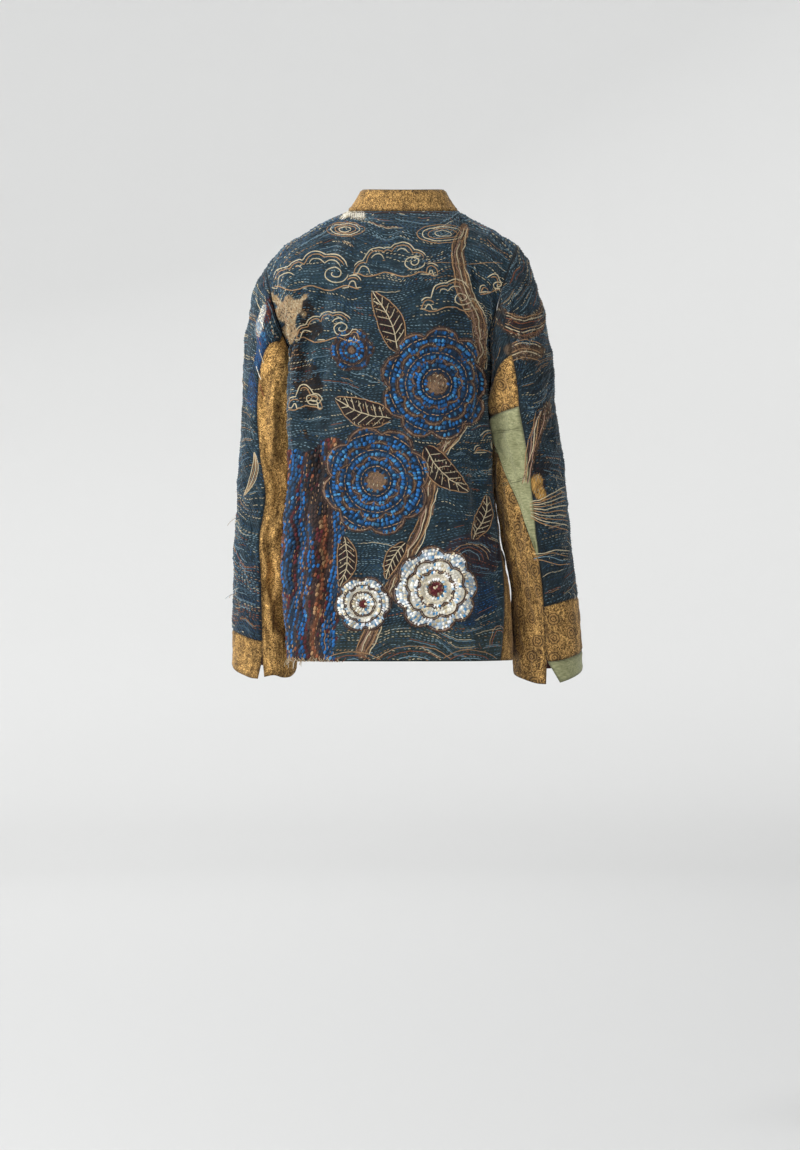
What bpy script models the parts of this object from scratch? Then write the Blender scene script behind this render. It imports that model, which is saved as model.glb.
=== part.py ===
"""A quilted Chinese jacket with a stand collar, in the hollow shape it has when worn. Metres, +Z up.

The back faces +Y and the open front -Y, and the wearer's left is +X. The origin lies between the
two points where the shoulder seams meet the collar. Every cut piece is a wall of cloth: an outer
face worked out from the tables below, and an inner face one wall's thickness in.
"""

import bpy
import numpy as np
from mathutils import kdtree

# Cloth
WALL = 0.0025
COLLAR_WALL = 0.003
SEAM_GAP = 0.0003
# Which way each side of a rim is split
RIM_ORDER = np.array([1.0, 1.7, 2.3])

# Heights
HEM_Z = -0.745
UNDERARM_Z = -0.262
SLEEVE_RING_Z = -0.33
GODET_TOP_Z = -0.375

# Seams of the body, in degrees round from centre back
LEFT_SIDE_SEAM = 118.0
RIGHT_SIDE_SEAM = 97.0
GODET_HEM_WIDTH = 38.0

# Neckline and collar
NECK_HALF_WIDTH = 0.092
NECK_BACK_Y = 0.062
NECK_BACK_Z = -0.012
NECK_SIDE_Z = -0.006
NECK_FRONT_Y = -0.078
NECK_FRONT_Z = -0.070
COLLAR_HEIGHT = 0.036
COLLAR_LEAN = 0.26
FRONT_GAP_TOP = 0.010
FRONT_GAP_HEM = 0.026

# How square the body's sections are behind and before the sides, as powers of sine and cosine
BACK_POWER = 0.87
FRONT_POWER = 0.90

# Grid of the cloth: rows and columns of each stretch
LOW_ROWS = 22
HIGH_ROWS = 12
NECK_COLUMNS = 6
SHOULDER_COLUMNS = 9
CAP_ROWS = 8
ARM_ROWS = 17
ARMHOLE_STEP = 15
COLLAR_ROWS = 3
GODET_COLUMNS = 3
GODET_END = 0.88
CUFF_FROM = 4.3
DOWN_UNIT = 0.09

# Room kept between a sleeve and the body beside it
SLEEVE_CLEARANCE = 0.006
CLEARANCE_RUN = 0.045
SLEEVE_TABLE_STEP = 5
SLEEVE_LEVELS = np.linspace(-0.79, UNDERARM_Z, 40)

# How the cloth leaves the underarm level and comes up to the neck, at the middle of back and front
BACK_RISE = np.array([0.0, 0.020, 0.110])
BACK_FALL = np.array([0.0, 0.045, -0.050])
FRONT_RISE = np.array([0.0, -0.006, 0.100])
FRONT_FALL = np.array([0.0, -0.022, -0.050])
EDGE_POWER = 2.0
SHOULDER_ROUND = np.array([0.0, 0.008, 0.016])

# How far the sleeve runs on from the armhole before it turns down
CAP_REACH = 0.045


def table(columns, *rows):
    """Named columns of numbers, one row for each section or fold."""
    return dict(zip(columns.split(), np.array(rows, float).T, strict=True))


# Body below the underarm: where each side is widest, and how deep the back and front are
BODY = table(
    "z left_x left_y right_x right_y back_y front_y",
    (-0.745, 0.188, 0.040, -0.182, 0.020, 0.122, -0.132),
    (-0.700, 0.191, 0.046, -0.183, 0.016, 0.121, -0.131),
    (-0.620, 0.197, 0.052, -0.178, 0.008, 0.119, -0.129),
    (-0.540, 0.195, 0.056, -0.164, 0.000, 0.117, -0.127),
    (-0.440, 0.186, 0.060, -0.153, -0.006, 0.115, -0.124),
    (-0.340, 0.188, 0.062, -0.150, -0.012, 0.117, -0.121),
    (-0.262, 0.188, 0.062, -0.149, -0.014, 0.121, -0.119),
)

# Height of the shoulder line over its distance from the middle
SHOULDER = table(
    "x z",
    (0.092, -0.006),
    (0.112, -0.016),
    (0.137, -0.030),
    (0.169, -0.048),
    (0.196, -0.064),
    (0.208, -0.077),
    (0.224, -0.0955),
)

# Armholes, by the angle round the sleeve: 0 at the shoulder, 90 behind, 270 before
LEFT_ARMHOLE = table(
    "angle x y z",
    (0, 0.2240, -0.004, -0.0955),
    (30, 0.2240, 0.032, -0.112),
    (60, 0.2180, 0.058, -0.140),
    (90, 0.2090, 0.068, -0.176),
    (120, 0.1960, 0.060, -0.214),
    (150, 0.1780, 0.036, -0.250),
    (210, 0.1610, -0.050, -0.252),
    (240, 0.1620, -0.078, -0.214),
    (270, 0.1720, -0.090, -0.172),
    (300, 0.1900, -0.080, -0.134),
    (330, 0.2100, -0.048, -0.106),
)
RIGHT_ARMHOLE = table(
    "angle x y z",
    (0, -0.1890, -0.004, -0.0600),
    (30, -0.1830, 0.034, -0.084),
    (60, -0.1680, 0.060, -0.118),
    (90, -0.1550, 0.068, -0.162),
    (120, -0.1430, 0.058, -0.208),
    (150, -0.1450, 0.026, -0.250),
    (210, -0.1470, -0.050, -0.252),
    (240, -0.1480, -0.076, -0.214),
    (270, -0.1550, -0.088, -0.168),
    (300, -0.1670, -0.076, -0.122),
    (330, -0.1800, -0.044, -0.083),
)

# Sleeves below the cap: the middle of each ring and its half widths
LEFT_ARM = table(
    "z x y half_x half_y",
    (-0.780, 0.2314, -0.054, 0.0539, 0.056),
    (-0.705, 0.2305, -0.054, 0.0540, 0.057),
    (-0.617, 0.2278, -0.052, 0.0550, 0.058),
    (-0.500, 0.2212, -0.044, 0.0560, 0.060),
    (-0.410, 0.2169, -0.036, 0.0550, 0.062),
    (-0.330, 0.2128, -0.026, 0.0530, 0.066),
)
RIGHT_ARM = table(
    "z x y half_x half_y",
    (-0.790, -0.2400, -0.004, 0.0580, 0.058),
    (-0.700, -0.2370, 0.000, 0.0570, 0.060),
    (-0.640, -0.2330, 0.004, 0.0550, 0.062),
    (-0.548, -0.2188, 0.010, 0.0568, 0.065),
    (-0.482, -0.2105, 0.014, 0.0585, 0.067),
    (-0.380, -0.2028, 0.016, 0.0560, 0.069),
    (-0.330, -0.1955, 0.016, 0.0545, 0.070),
)

# Back seam between a sleeve's upper and under pieces, and the edge of its cuff, by height and angle
LEFT_SEAM = table(
    "z angle",
    (-0.780, 90.0),
    (-0.705, 88.0),
    (-0.600, 82.0),
    (-0.540, 76.0),
    (-0.480, 84.0),
    (-0.400, 70.0),
    (-0.320, 60.0),
    (-0.262, 72.0),
    (-0.214, 120.0),
)
RIGHT_SEAM = table(
    "z angle",
    (-0.790, 92.0),
    (-0.700, 96.0),
    (-0.600, 94.0),
    (-0.480, 90.0),
    (-0.350, 98.0),
    (-0.250, 98.0),
    (-0.162, 90.0),
)
FRONT_SEAM = 270.0
LEFT_CUFF_EDGE = table(
    "angle z",
    (0, -0.7570),
    (45, -0.7690),
    (80, -0.7770),
    (105, -0.7710),
    (135, -0.7760),
    (180, -0.7640),
    (270, -0.7580),
)
RIGHT_CUFF_EDGE = table(
    "angle z",
    (0, -0.7600),
    (45, -0.7730),
    (75, -0.7820),
    (105, -0.7840),
    (140, -0.7760),
    (180, -0.7680),
    (270, -0.7620),
)

# Vent at the foot of each back seam: its top, and how many degrees each side swings away
LEFT_VENT = {"top": -0.737, "upper": 9.0, "under": 3.0}
RIGHT_VENT = {"top": -0.741, "upper": 20.0, "under": 4.0}

# Where the pieces of each sleeve meet: the height at its seams, and how far the line rises between
LEFT_CUTS = {"cuff": (-0.711, 0.009)}
RIGHT_CUTS = {
    "gold": (-0.250, 0.012),
    "green": (-0.332, -0.014),
    "cuff": (-0.657, 0.014),
    "low": (-0.582, 0.200),
    "cuff_hem": (-0.744, 0.000),
}

# Largest folds of the body and sleeves, as troughs below zero and ridges above it: the angle and
# height at both ends, the half width and the depth
BODY_FOLDS = table(
    "angle_0 z_0 angle_1 z_1 half depth",
    (50, -0.150, 54, -0.340, 0.016, -0.010),
    (66, -0.220, 70, -0.400, 0.016, 0.005),
    (40, -0.330, 58, -0.560, 0.016, -0.011),
    (27, -0.380, 42, -0.660, 0.020, 0.006),
    (60, -0.580, 50, -0.745, 0.014, -0.008),
    (38, -0.640, 34, -0.745, 0.014, 0.004),
    (-52, -0.120, -58, -0.300, 0.014, -0.008),
    (-40, -0.200, -46, -0.360, 0.016, 0.003),
    (-46, -0.400, -56, -0.620, 0.020, -0.006),
    (-30, -0.560, -34, -0.745, 0.018, 0.004),
    (-8, -0.520, -4, -0.745, 0.022, -0.005),
    (8, -0.100, 30, -0.200, 0.018, -0.003),
    (150, -0.250, 146, -0.745, 0.018, -0.009),
    (128, -0.400, 134, -0.745, 0.016, -0.007),
    (-146, -0.300, -152, -0.745, 0.020, -0.008),
    (-126, -0.500, -130, -0.745, 0.015, -0.007),
)
LEFT_FOLDS = table(
    "angle_0 z_0 angle_1 z_1 half depth",
    (96, -0.300, 104, -0.430, 0.008, -0.005),
    (74, -0.340, 84, -0.470, 0.009, 0.004),
    (70, -0.545, 150, -0.575, 0.011, -0.007),
    (98, -0.590, 132, -0.700, 0.010, -0.006),
    (20, -0.480, 75, -0.520, 0.012, -0.004),
    (215, -0.400, 300, -0.460, 0.014, -0.006),
    (250, -0.560, 340, -0.500, 0.014, -0.005),
)
RIGHT_FOLDS = table(
    "angle_0 z_0 angle_1 z_1 half depth",
    (112, -0.400, 126, -0.560, 0.011, -0.006),
    (60, -0.250, 20, -0.330, 0.013, -0.004),
    (104, -0.640, 140, -0.700, 0.010, -0.005),
    (40, -0.430, 88, -0.470, 0.012, -0.003),
    (220, -0.420, 310, -0.470, 0.014, -0.006),
    (240, -0.600, 330, -0.560, 0.014, -0.005),
)
BODY_DEGREE = 0.0030
ARM_DEGREE = 0.00105

CLOTH_COLOURS = {
    "indigo": (0.055, 0.095, 0.125),
    "gold": (0.270, 0.180, 0.075),
    "green": (0.270, 0.300, 0.170),
}


def curve(keys, values, at):
    """A smooth curve through the values at rising keys, held at its end values beyond them."""
    slopes = np.gradient(values, keys)
    at = np.clip(at, keys[0], keys[-1])
    i = np.clip(np.searchsorted(keys, at) - 1, 0, len(keys) - 2)
    step = keys[i + 1] - keys[i]
    t = (at - keys[i]) / step
    start, end = values[i], values[i + 1]
    bend = t * (1 - t) * step * (slopes[i] * (1 - t) - slopes[i + 1] * t)
    return start + (end - start) * t * t * (3 - 2 * t) + bend


def read(tab, column, at):
    """A column of a table at any value of its first column."""
    return curve(next(iter(tab.values())), tab[column], np.asarray(at, float))


def read_round(tab, column, angle):
    """A column of a table whose first column is an angle that comes round."""
    keys = tab["angle"]
    wide = np.concatenate([keys[-3:] - 360, keys, keys[:3] + 360])
    values = np.concatenate([tab[column][-3:], tab[column], tab[column][:3]])
    return curve(wide, values, np.asarray(angle, float) % 360)


def ease(t):
    t = np.clip(t, 0, 1)
    return t * t * (3 - 2 * t)


def points(x, y, z):
    return np.stack(np.broadcast_arrays(x, y, z), axis=-1)


def fold_depth(folds, angle, z, degree):
    """How far the folds lift the cloth at each angle and height; they fade out at their ends."""
    depth = np.zeros(np.broadcast(angle, z).shape)
    for a_0, z_0, a_1, z_1, half, most in zip(*folds.values(), strict=True):
        along = np.array([(a_1 - a_0) * degree, z_1 - z_0])
        from_start = (angle - a_0) * degree, z - z_0
        t = (from_start[0] * along[0] + from_start[1] * along[1]) / (along @ along)
        held = np.clip(t, 0, 1)
        off = np.hypot(from_start[0] - held * along[0], from_start[1] - held * along[1])
        depth += most * np.exp(-((off / half) ** 2))
    return depth


def arm_ring(side, z, angle):
    """A sleeve's smooth ring at a height and an angle round it: 0 outwards, 90 behind."""
    arm, turn = side["arm"], np.radians(angle)
    x = read(arm, "x", z) + side["out"] * read(arm, "half_x", z) * np.cos(turn)
    y = read(arm, "y", z) + read(arm, "half_y", z) * np.sin(turn)
    return points(x, y, z)


def bare_body_point(angle, z):
    """The body's outer face below the underarm, before folds, at an angle round from centre back."""
    angle, z = np.broadcast_arrays(np.asarray(angle, float), np.asarray(z, float))
    left, behind = angle >= 0, np.abs(angle) <= 90
    side_x = np.where(left, read(BODY, "left_x", z), read(BODY, "right_x", z))
    side_y = np.where(left, read(BODY, "left_y", z), read(BODY, "right_y", z))
    end_y = np.where(behind, read(BODY, "back_y", z), read(BODY, "front_y", z))
    power = np.where(behind, BACK_POWER, FRONT_POWER)
    turn = np.radians(np.abs(angle))
    x = side_x * np.sin(turn) ** power
    y = side_y + (end_y - side_y) * np.abs(np.cos(turn)) ** power
    return points(x, y, z)


def clear_of_sleeve(side, cloth):
    """The body's points, moved off the sleeve that hangs beside them."""
    arm = side["arm"]
    x, y, z = cloth[..., 0], cloth[..., 1], cloth[..., 2]
    off_x, off_y = x - read(arm, "x", z), y - read(arm, "y", z)
    reach = np.hypot(off_x, off_y)
    way = np.degrees(np.arctan2(off_y, off_x)) % 360 / SLEEVE_TABLE_STEP
    level = np.clip((z - SLEEVE_LEVELS[0]) / (SLEEVE_LEVELS[1] - SLEEVE_LEVELS[0]), 0, len(SLEEVE_LEVELS) - 1.001)
    i, j = level.astype(int), way.astype(int)
    a, b = level - i, way - j
    held = side["reach"]
    limit = (held[i, j] * (1 - b) + held[i, j + 1] * b) * (1 - a)
    limit += (held[i + 1, j] * (1 - b) + held[i + 1, j + 1] * b) * a
    rim = side["rim"][j] * (1 - b) + side["rim"][j + 1] * b
    share = ease((rim - z) / CLEARANCE_RUN)
    limit = limit + SLEEVE_CLEARANCE * share
    soft = 0.003 * share + 1e-5
    over = np.clip((limit - reach) / soft, -40, 40)
    pushed = np.where(over > 30, limit, reach + soft * np.log1p(np.exp(over)))
    pushed = np.where(reach > limit + 0.03, reach, np.maximum(pushed, reach))
    grow = pushed / np.maximum(reach, 1e-6) - 1
    return points(x + off_x * grow, y + off_y * grow, z)


def body_point(angle, z):
    """The body's outer face below the underarm, left angles positive."""
    cloth = bare_body_point(angle, z)
    folds = fold_depth(BODY_FOLDS, angle, z, BODY_DEGREE)
    reach = np.hypot(cloth[..., 0], cloth[..., 1])
    cloth = cloth * points(1 + folds / reach, 1 + folds / reach, 1)
    for side in (LEFT, RIGHT):
        cloth = clear_of_sleeve(side, cloth)
    return cloth


def front_edge_angle(z):
    """Where the open front edge lies, in degrees from centre back."""
    gap = FRONT_GAP_TOP + (FRONT_GAP_HEM - FRONT_GAP_TOP) * (UNDERARM_Z - z) / (UNDERARM_Z - HEM_Z)
    width = read(BODY, "left_x", z)
    return 180 - np.degrees(np.arcsin((gap / 2 / width) ** (1 / FRONT_POWER)))


def neckline(turn):
    """The neckline on the left, from centre back at 0 degrees past the shoulder at 90 to 180."""
    turn = np.asarray(turn, float)
    sine, cosine = np.sin(np.radians(turn)), np.cos(np.radians(turn))
    behind = turn <= 90
    y = np.where(behind, NECK_BACK_Y * cosine, -NECK_FRONT_Y * cosine)
    drop = np.where(behind, NECK_BACK_Z - NECK_SIDE_Z, NECK_FRONT_Z - NECK_SIDE_Z)
    x = np.maximum(NECK_HALF_WIDTH * sine, np.where(behind, 0, FRONT_GAP_TOP / 2))
    return points(x, y, NECK_SIDE_Z + drop * np.abs(cosine) ** 1.5)


def shoulder_seam(side, share):
    """The shoulder seam, from the collar at 0 to the armhole at 1."""
    tip = armhole(side, 0.0)
    x = NECK_HALF_WIDTH + (abs(tip[0]) - NECK_HALF_WIDTH) * share
    return points(side["out"] * x, tip[1] * share, read(SHOULDER, "z", x))


def armhole(side, angle):
    """The armhole at an angle round the sleeve. Its foot is where the side seam ends."""
    foot = bare_body_point(side["out"] * side["side_seam"], UNDERARM_Z)
    holes = dict(side["armhole"])
    at = np.searchsorted(holes["angle"], 180)
    keys = np.insert(holes["angle"], at, 180)
    whole = {"angle": keys}
    for axis, value in zip("xyz", foot, strict=True):
        whole[axis] = np.insert(holes[axis], at, value)
    return points(*(read_round(whole, axis, angle) for axis in "xyz"))


def bezier(start, lean_in, lean_out, end, t):
    return (
        start * (1 - t) ** 3
        + lean_in * 3 * t * (1 - t) ** 2
        + lean_out * 3 * t * t * (1 - t)
        + end * t**3
    )


def upper_body(side, behind):
    """One quarter of the body above the underarm, rows from the underarm up and columns from the
    middle out to the armhole. The four edges are worked out and the cloth is spread between them."""
    out = side["out"]
    count = NECK_COLUMNS + SHOULDER_COLUMNS
    column = np.arange(count + 1)
    share = column / count
    edge = 0.0 if behind else front_edge_angle(UNDERARM_Z)
    angles = out * (edge + (side["side_seam"] - edge) * share)
    base = body_point(angles, UNDERARM_Z)
    base[-1] = armhole(side, 180.0)
    neck_share = np.minimum(column, NECK_COLUMNS) / NECK_COLUMNS
    neck = neckline(90 * neck_share if behind else 180 - 90 * neck_share)
    neck[:, 0] *= out
    seam = shoulder_seam(side, np.maximum(column - NECK_COLUMNS, 0) / SHOULDER_COLUMNS)
    top = np.where((column > NECK_COLUMNS)[:, None], seam, neck)
    t = (np.arange(HIGH_ROWS + 1) / HIGH_ROWS)[:, None]
    rise, fall = (BACK_RISE, BACK_FALL) if behind else (FRONT_RISE, FRONT_FALL)
    middle = bezier(base[0], base[0] + rise, top[0] + fall, top[0], t)
    hole = armhole(side, (180 * (1 - t) if behind else 180 + 180 * t)[:, 0])
    middle_bend = middle - base[0] * (1 - t) - top[0] * t
    hole_bend = hole - base[-1] * (1 - t) - top[-1] * t
    t = t[..., None]
    weight = (share**EDGE_POWER)[None, :, None]
    cloth = base * (1 - t) + top * t + middle_bend[:, None] * (1 - weight) + hole_bend[:, None] * weight
    past_neck = ease(column / NECK_COLUMNS) * (1 - share**4)
    bulge = SHOULDER_ROUND * (1, 1 if behind else -1, 1)
    cloth = cloth + 6.75 * t**2 * (1 - t) * past_neck[None, :, None] * bulge
    t = t[..., 0]
    fade = (1 - share**6)[None, :] * np.minimum(1, 3 * (1 - t))
    folds = fold_depth(BODY_FOLDS, angles[None, :], cloth[..., 2], BODY_DEGREE)
    base_folds = fold_depth(BODY_FOLDS, angles, UNDERARM_Z, BODY_DEGREE)
    folds = (folds - base_folds[None, :] * (1 - t) ** 2) * fade
    cloth[..., 1] += folds * (1 if behind else -1)
    return cloth


def lower_body(start, end):
    """The body from the hem up to the underarm, between two seams given as angles at each row."""
    z = np.linspace(HEM_Z, UNDERARM_Z, LOW_ROWS + 1)
    return lambda columns: body_point(
        start(z)[:, None] + (end(z) - start(z))[:, None] * columns[None, :], z[:, None]
    )


def godet_angle(z):
    """The right back seam's angle: it leaves the side seam below the godet's top."""
    share = np.clip((GODET_TOP_Z - z) / (GODET_TOP_Z - HEM_Z), 0, 1)
    return -RIGHT_SIDE_SEAM + GODET_HEM_WIDTH * share**0.6


def still(angle):
    return lambda z: np.full_like(z, angle)


def back_panel():
    count = NECK_COLUMNS + SHOULDER_COLUMNS
    share = np.arange(count + 1) / count
    left = np.concatenate([lower_body(still(0.0), still(LEFT_SIDE_SEAM))(share)[:-1], upper_body(LEFT, True)])
    right = np.concatenate([lower_body(still(0.0), godet_angle)(share)[:-1], upper_body(RIGHT, True)])
    return np.concatenate([right[:, :0:-1], left], axis=1)


def front_panel(side):
    count = NECK_COLUMNS + SHOULDER_COLUMNS
    share = np.arange(count + 1) / count
    out = side["out"]
    low = lower_body(lambda z: out * front_edge_angle(z), still(out * side["side_seam"]))(share)
    return np.concatenate([low[:-1], upper_body(side, False)])


def godet():
    """The gold strip, up to a narrow end a little below the row where its two seams part."""
    z = np.linspace(HEM_Z, UNDERARM_Z, LOW_ROWS + 1)
    apex = body_point(-RIGHT_SIDE_SEAM, z[z > GODET_TOP_Z][0])
    z = z[z <= GODET_TOP_Z]
    share = np.arange(GODET_COLUMNS + 1) / GODET_COLUMNS
    start = godet_angle(z)
    low = body_point(start[:, None] + (-RIGHT_SIDE_SEAM - start)[:, None] * share[None, :], z[:, None])
    end = low[-1] + (apex - low[-1]) * GODET_END
    return np.concatenate([low, end[None]])


def collar():
    """The stand collar: the neckline, carried up and leaning in."""
    half = np.concatenate([np.arange(NECK_COLUMNS) / NECK_COLUMNS, 1 + np.arange(NECK_COLUMNS + 1) / NECK_COLUMNS])
    turn = 90 * half
    foot = neckline(turn)
    foot = np.concatenate([foot[:0:-1] * (-1, 1, 1), foot])
    rows = []
    for share in np.arange(COLLAR_ROWS + 1) / COLLAR_ROWS:
        lean = COLLAR_LEAN * share * (1.2 - 0.2 * share)
        ring = foot * (1, 1, 1)
        ring[:, 0] = np.sign(foot[:, 0]) * np.maximum(np.abs(foot[:, 0]) * (1 - lean), FRONT_GAP_TOP / 2)
        ring[:, 0] = np.where(np.abs(foot[:, 0]) < 1e-6, 0, ring[:, 0])
        ring[:, 1] = foot[:, 1] * (1 - 0.5 * lean)
        ring[:, 2] = foot[:, 2] + COLLAR_HEIGHT * share
        rows.append(ring)
    return np.array(rows)


def sleeve_point(side, down, angle):
    """A sleeve's outer face. Down runs from 0 at the armhole to 1 at the top ring, and below that
    it goes on by one for each DOWN_UNIT."""
    below = np.maximum(down - 1, 0) * DOWN_UNIT
    t = np.clip(down, 0, 1)[..., None]
    hole, turn = armhole(side, angle), np.radians(angle)
    ring = arm_ring(side, SLEEVE_RING_Z, angle)
    lift = points(0, 0, 0.35 * (hole[..., 2] - SLEEVE_RING_Z))
    cap = bezier(hole, hole + cap_reach(side, angle), ring + lift, ring, t)
    cloth = np.where((down > 1)[..., None], arm_ring(side, SLEEVE_RING_Z - below, angle), cap)
    angle = angle % 360
    folds = sum(fold_depth(side["folds"], a, cloth[..., 2], ARM_DEGREE) for a in (angle, angle - 360))
    folds = folds * ease(2 * down)
    return cloth + points(side["out"] * folds * np.cos(turn), folds * np.sin(turn), 0)


def reach_table(side):
    """How far a sleeve reaches from its middle, by level and by direction, and the height of the
    armhole in each direction."""
    angle = np.arange(0, 360, SLEEVE_TABLE_STEP)
    down = np.concatenate([np.linspace(0, 1, 21), 1 + np.linspace(0.01, 0.46, 46) / DOWN_UNIT])
    cloth = sleeve_point(side, down[::-1, None], angle[None, :])
    steps = np.arange(0, 361, SLEEVE_TABLE_STEP)
    found = []
    for z in SLEEVE_LEVELS:
        x = [np.interp(z, column[:, 2], column[:, 0]) for column in cloth.swapaxes(0, 1)]
        y = [np.interp(z, column[:, 2], column[:, 1]) for column in cloth.swapaxes(0, 1)]
        off_x, off_y = x - read(side["arm"], "x", z), y - read(side["arm"], "y", z)
        way = np.degrees(np.arctan2(off_y, off_x)) % 360
        order = np.argsort(way)
        found.append(np.interp(steps, way[order], np.hypot(off_x, off_y)[order], period=360))
    rim = np.interp(steps, way[order], armhole(side, angle)[order, 2], period=360)
    return np.array(found), rim


def sleeve_rows(side):
    """The rows of a whole sleeve as distances down it, with a row on every line where pieces meet."""
    seam_top = armhole(side, side["seam"]["angle"][-1])[..., 2]
    end = 1 + (SLEEVE_RING_Z - side["end"]) / DOWN_UNIT
    rows = np.concatenate([np.arange(CAP_ROWS) / CAP_ROWS, 1 + (end - 1) * np.arange(ARM_ROWS + 1) / ARM_ROWS])
    lines = {}
    for name, (z, rise) in side["cuts"].items():
        span = seam_top - SLEEVE_RING_Z
        lines[name] = (seam_top - z) / span if z > SLEEVE_RING_Z else 1 + (SLEEVE_RING_Z - z) / DOWN_UNIT
        at = np.argmin(np.abs(rows - lines[name]))
        rows[at] = lines[name]
    return rows, lines


def sleeve_piece(side, edge, top, foot):
    """A piece of sleeve between two lines round it. With no top line it starts at the armhole, and
    with no foot line it ends at the cuff's edge. Its columns run from seam to seam."""
    rows, lines = sleeve_rows(side)
    start = 0.0 if top is None else lines[top]
    stop = rows[-1] if foot is None else lines[foot]
    down = rows[(rows >= start - 1e-9) & (rows <= stop + 1e-9)][:, None]
    back = side["seam"]["angle"][-1]
    low, high = (FRONT_SEAM - 360, back) if edge == "upper" else (back, FRONT_SEAM)
    hole_angle = np.arange(low, high + 1, ARMHOLE_STEP)[None, :]
    share = (hole_angle - low) / (high - low)

    mids = {name: rise for name, (_, rise) in side["cuts"].items() if name in side[edge]}
    keys = [0.0] + [lines[name] for name in mids] + [rows[-1]]
    rises = np.interp(down, keys, [0.0] + list(mids.values()) + [0.0])
    slanted = down - rises * np.sin(np.pi * share) / DOWN_UNIT

    seam_top = armhole(side, back)[..., 2]
    cap_z = seam_top + (SLEEVE_RING_Z - seam_top) * slanted
    seam_z = np.where(slanted < 1, cap_z, SLEEVE_RING_Z - (slanted - 1) * DOWN_UNIT)
    vent = side["vent"]
    swing = -vent["upper"] if edge == "upper" else vent["under"]
    swing = swing * np.clip((vent["top"] - seam_z) / (vent["top"] - side["end"]), 0, 1)
    seam = read(side["seam"], "angle", seam_z) + swing
    seam = seam + (back - seam) * (1 - np.clip(slanted, 0, 1)) ** 2
    if edge == "upper":
        angle = low + (seam - low) * share
    else:
        angle = seam + (high - seam) * share
    cuff = 1 + (SLEEVE_RING_Z - read_round(side["cuff_edge"], "z", angle)) / DOWN_UNIT
    foot_share = np.clip((slanted - CUFF_FROM) / (rows[-1] - CUFF_FROM), 0, 1)
    return sleeve_point(side, slanted + (cuff - rows[-1]) * foot_share, angle)


def cap_reach(side, angle):
    """How the sleeve leaves the armhole: outwards over the shoulder, back behind, down below."""
    turn = np.radians(angle)
    outward = 0.25 + 0.42 * np.maximum(np.cos(turn), 0) - 0.25 * np.maximum(-np.cos(turn), 0)
    way = points(side["out"] * outward, 0.45 * np.sin(turn), -0.62 + 0 * turn)
    return way / np.linalg.norm(way, axis=-1, keepdims=True) * CAP_REACH


LEFT = {
    "out": 1,
    "side_seam": LEFT_SIDE_SEAM,
    "armhole": LEFT_ARMHOLE,
    "arm": LEFT_ARM,
    "seam": LEFT_SEAM,
    "cuff_edge": LEFT_CUFF_EDGE,
    "end": -0.770,
    "vent": LEFT_VENT,
    "cuts": LEFT_CUTS,
    "upper": ["cuff"],
    "under": [],
    "folds": LEFT_FOLDS,
}
RIGHT = {
    "out": -1,
    "side_seam": RIGHT_SIDE_SEAM,
    "armhole": RIGHT_ARMHOLE,
    "arm": RIGHT_ARM,
    "seam": RIGHT_SEAM,
    "cuff_edge": RIGHT_CUFF_EDGE,
    "end": -0.780,
    "vent": RIGHT_VENT,
    "cuts": RIGHT_CUTS,
    "upper": ["cuff", "cuff_hem"],
    "under": ["gold", "green", "low"],
    "folds": RIGHT_FOLDS,
}
for one in (LEFT, RIGHT):
    one["reach"], one["rim"] = reach_table(one)


def cut_pieces():
    """Every piece of cloth: its outer face as rows and columns of points, its wall and its colour."""
    return {
        "back": (back_panel(), WALL, "indigo"),
        "front_left": (front_panel(LEFT), WALL, "indigo"),
        "front_right": (front_panel(RIGHT), WALL, "indigo"),
        "godet_right": (godet(), WALL, "gold"),
        "collar": (collar(), COLLAR_WALL, "gold"),
        "sleeve_left_upper": (sleeve_piece(LEFT, "upper", None, "cuff"), WALL, "indigo"),
        "cuff_left": (sleeve_piece(LEFT, "upper", "cuff", None), WALL, "gold"),
        "sleeve_left_under": (sleeve_piece(LEFT, "under", None, None), WALL, "gold"),
        "sleeve_right_upper": (sleeve_piece(RIGHT, "upper", None, "cuff"), WALL, "indigo"),
        "cuff_right": (sleeve_piece(RIGHT, "upper", "cuff", "cuff_hem"), WALL, "gold"),
        "cuff_right_hem": (sleeve_piece(RIGHT, "upper", "cuff_hem", None), WALL, "green"),
        "sleeve_right_under_top": (sleeve_piece(RIGHT, "under", None, "gold"), WALL, "indigo"),
        "patch_right_gold": (sleeve_piece(RIGHT, "under", "gold", "green"), WALL, "gold"),
        "patch_right_green": (sleeve_piece(RIGHT, "under", "green", "low"), WALL, "green"),
        "sleeve_right_under_low": (sleeve_piece(RIGHT, "under", "low", None), WALL, "gold"),
    }


def quads(rows, columns):
    """The corners of a grid's faces, as numbers of its points."""
    corner = (np.arange(rows - 1)[:, None] * columns + np.arange(columns - 1)[None, :]).ravel()
    return np.stack([corner, corner + 1, corner + columns + 1, corner + columns], axis=1)


def faces_out(cloth, inner):
    """True if the grid's faces turn away from the wearer."""
    face = quads(*cloth.shape[:2])
    flat = cloth.reshape(-1, 3)
    normal = np.cross(flat[face[:, 1]] - flat[face[:, 0]], flat[face[:, 3]] - flat[face[:, 0]])
    away = flat[face].mean(axis=1) - inner(flat[face].mean(axis=1))
    return float((normal * away).sum()) > 0


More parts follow.
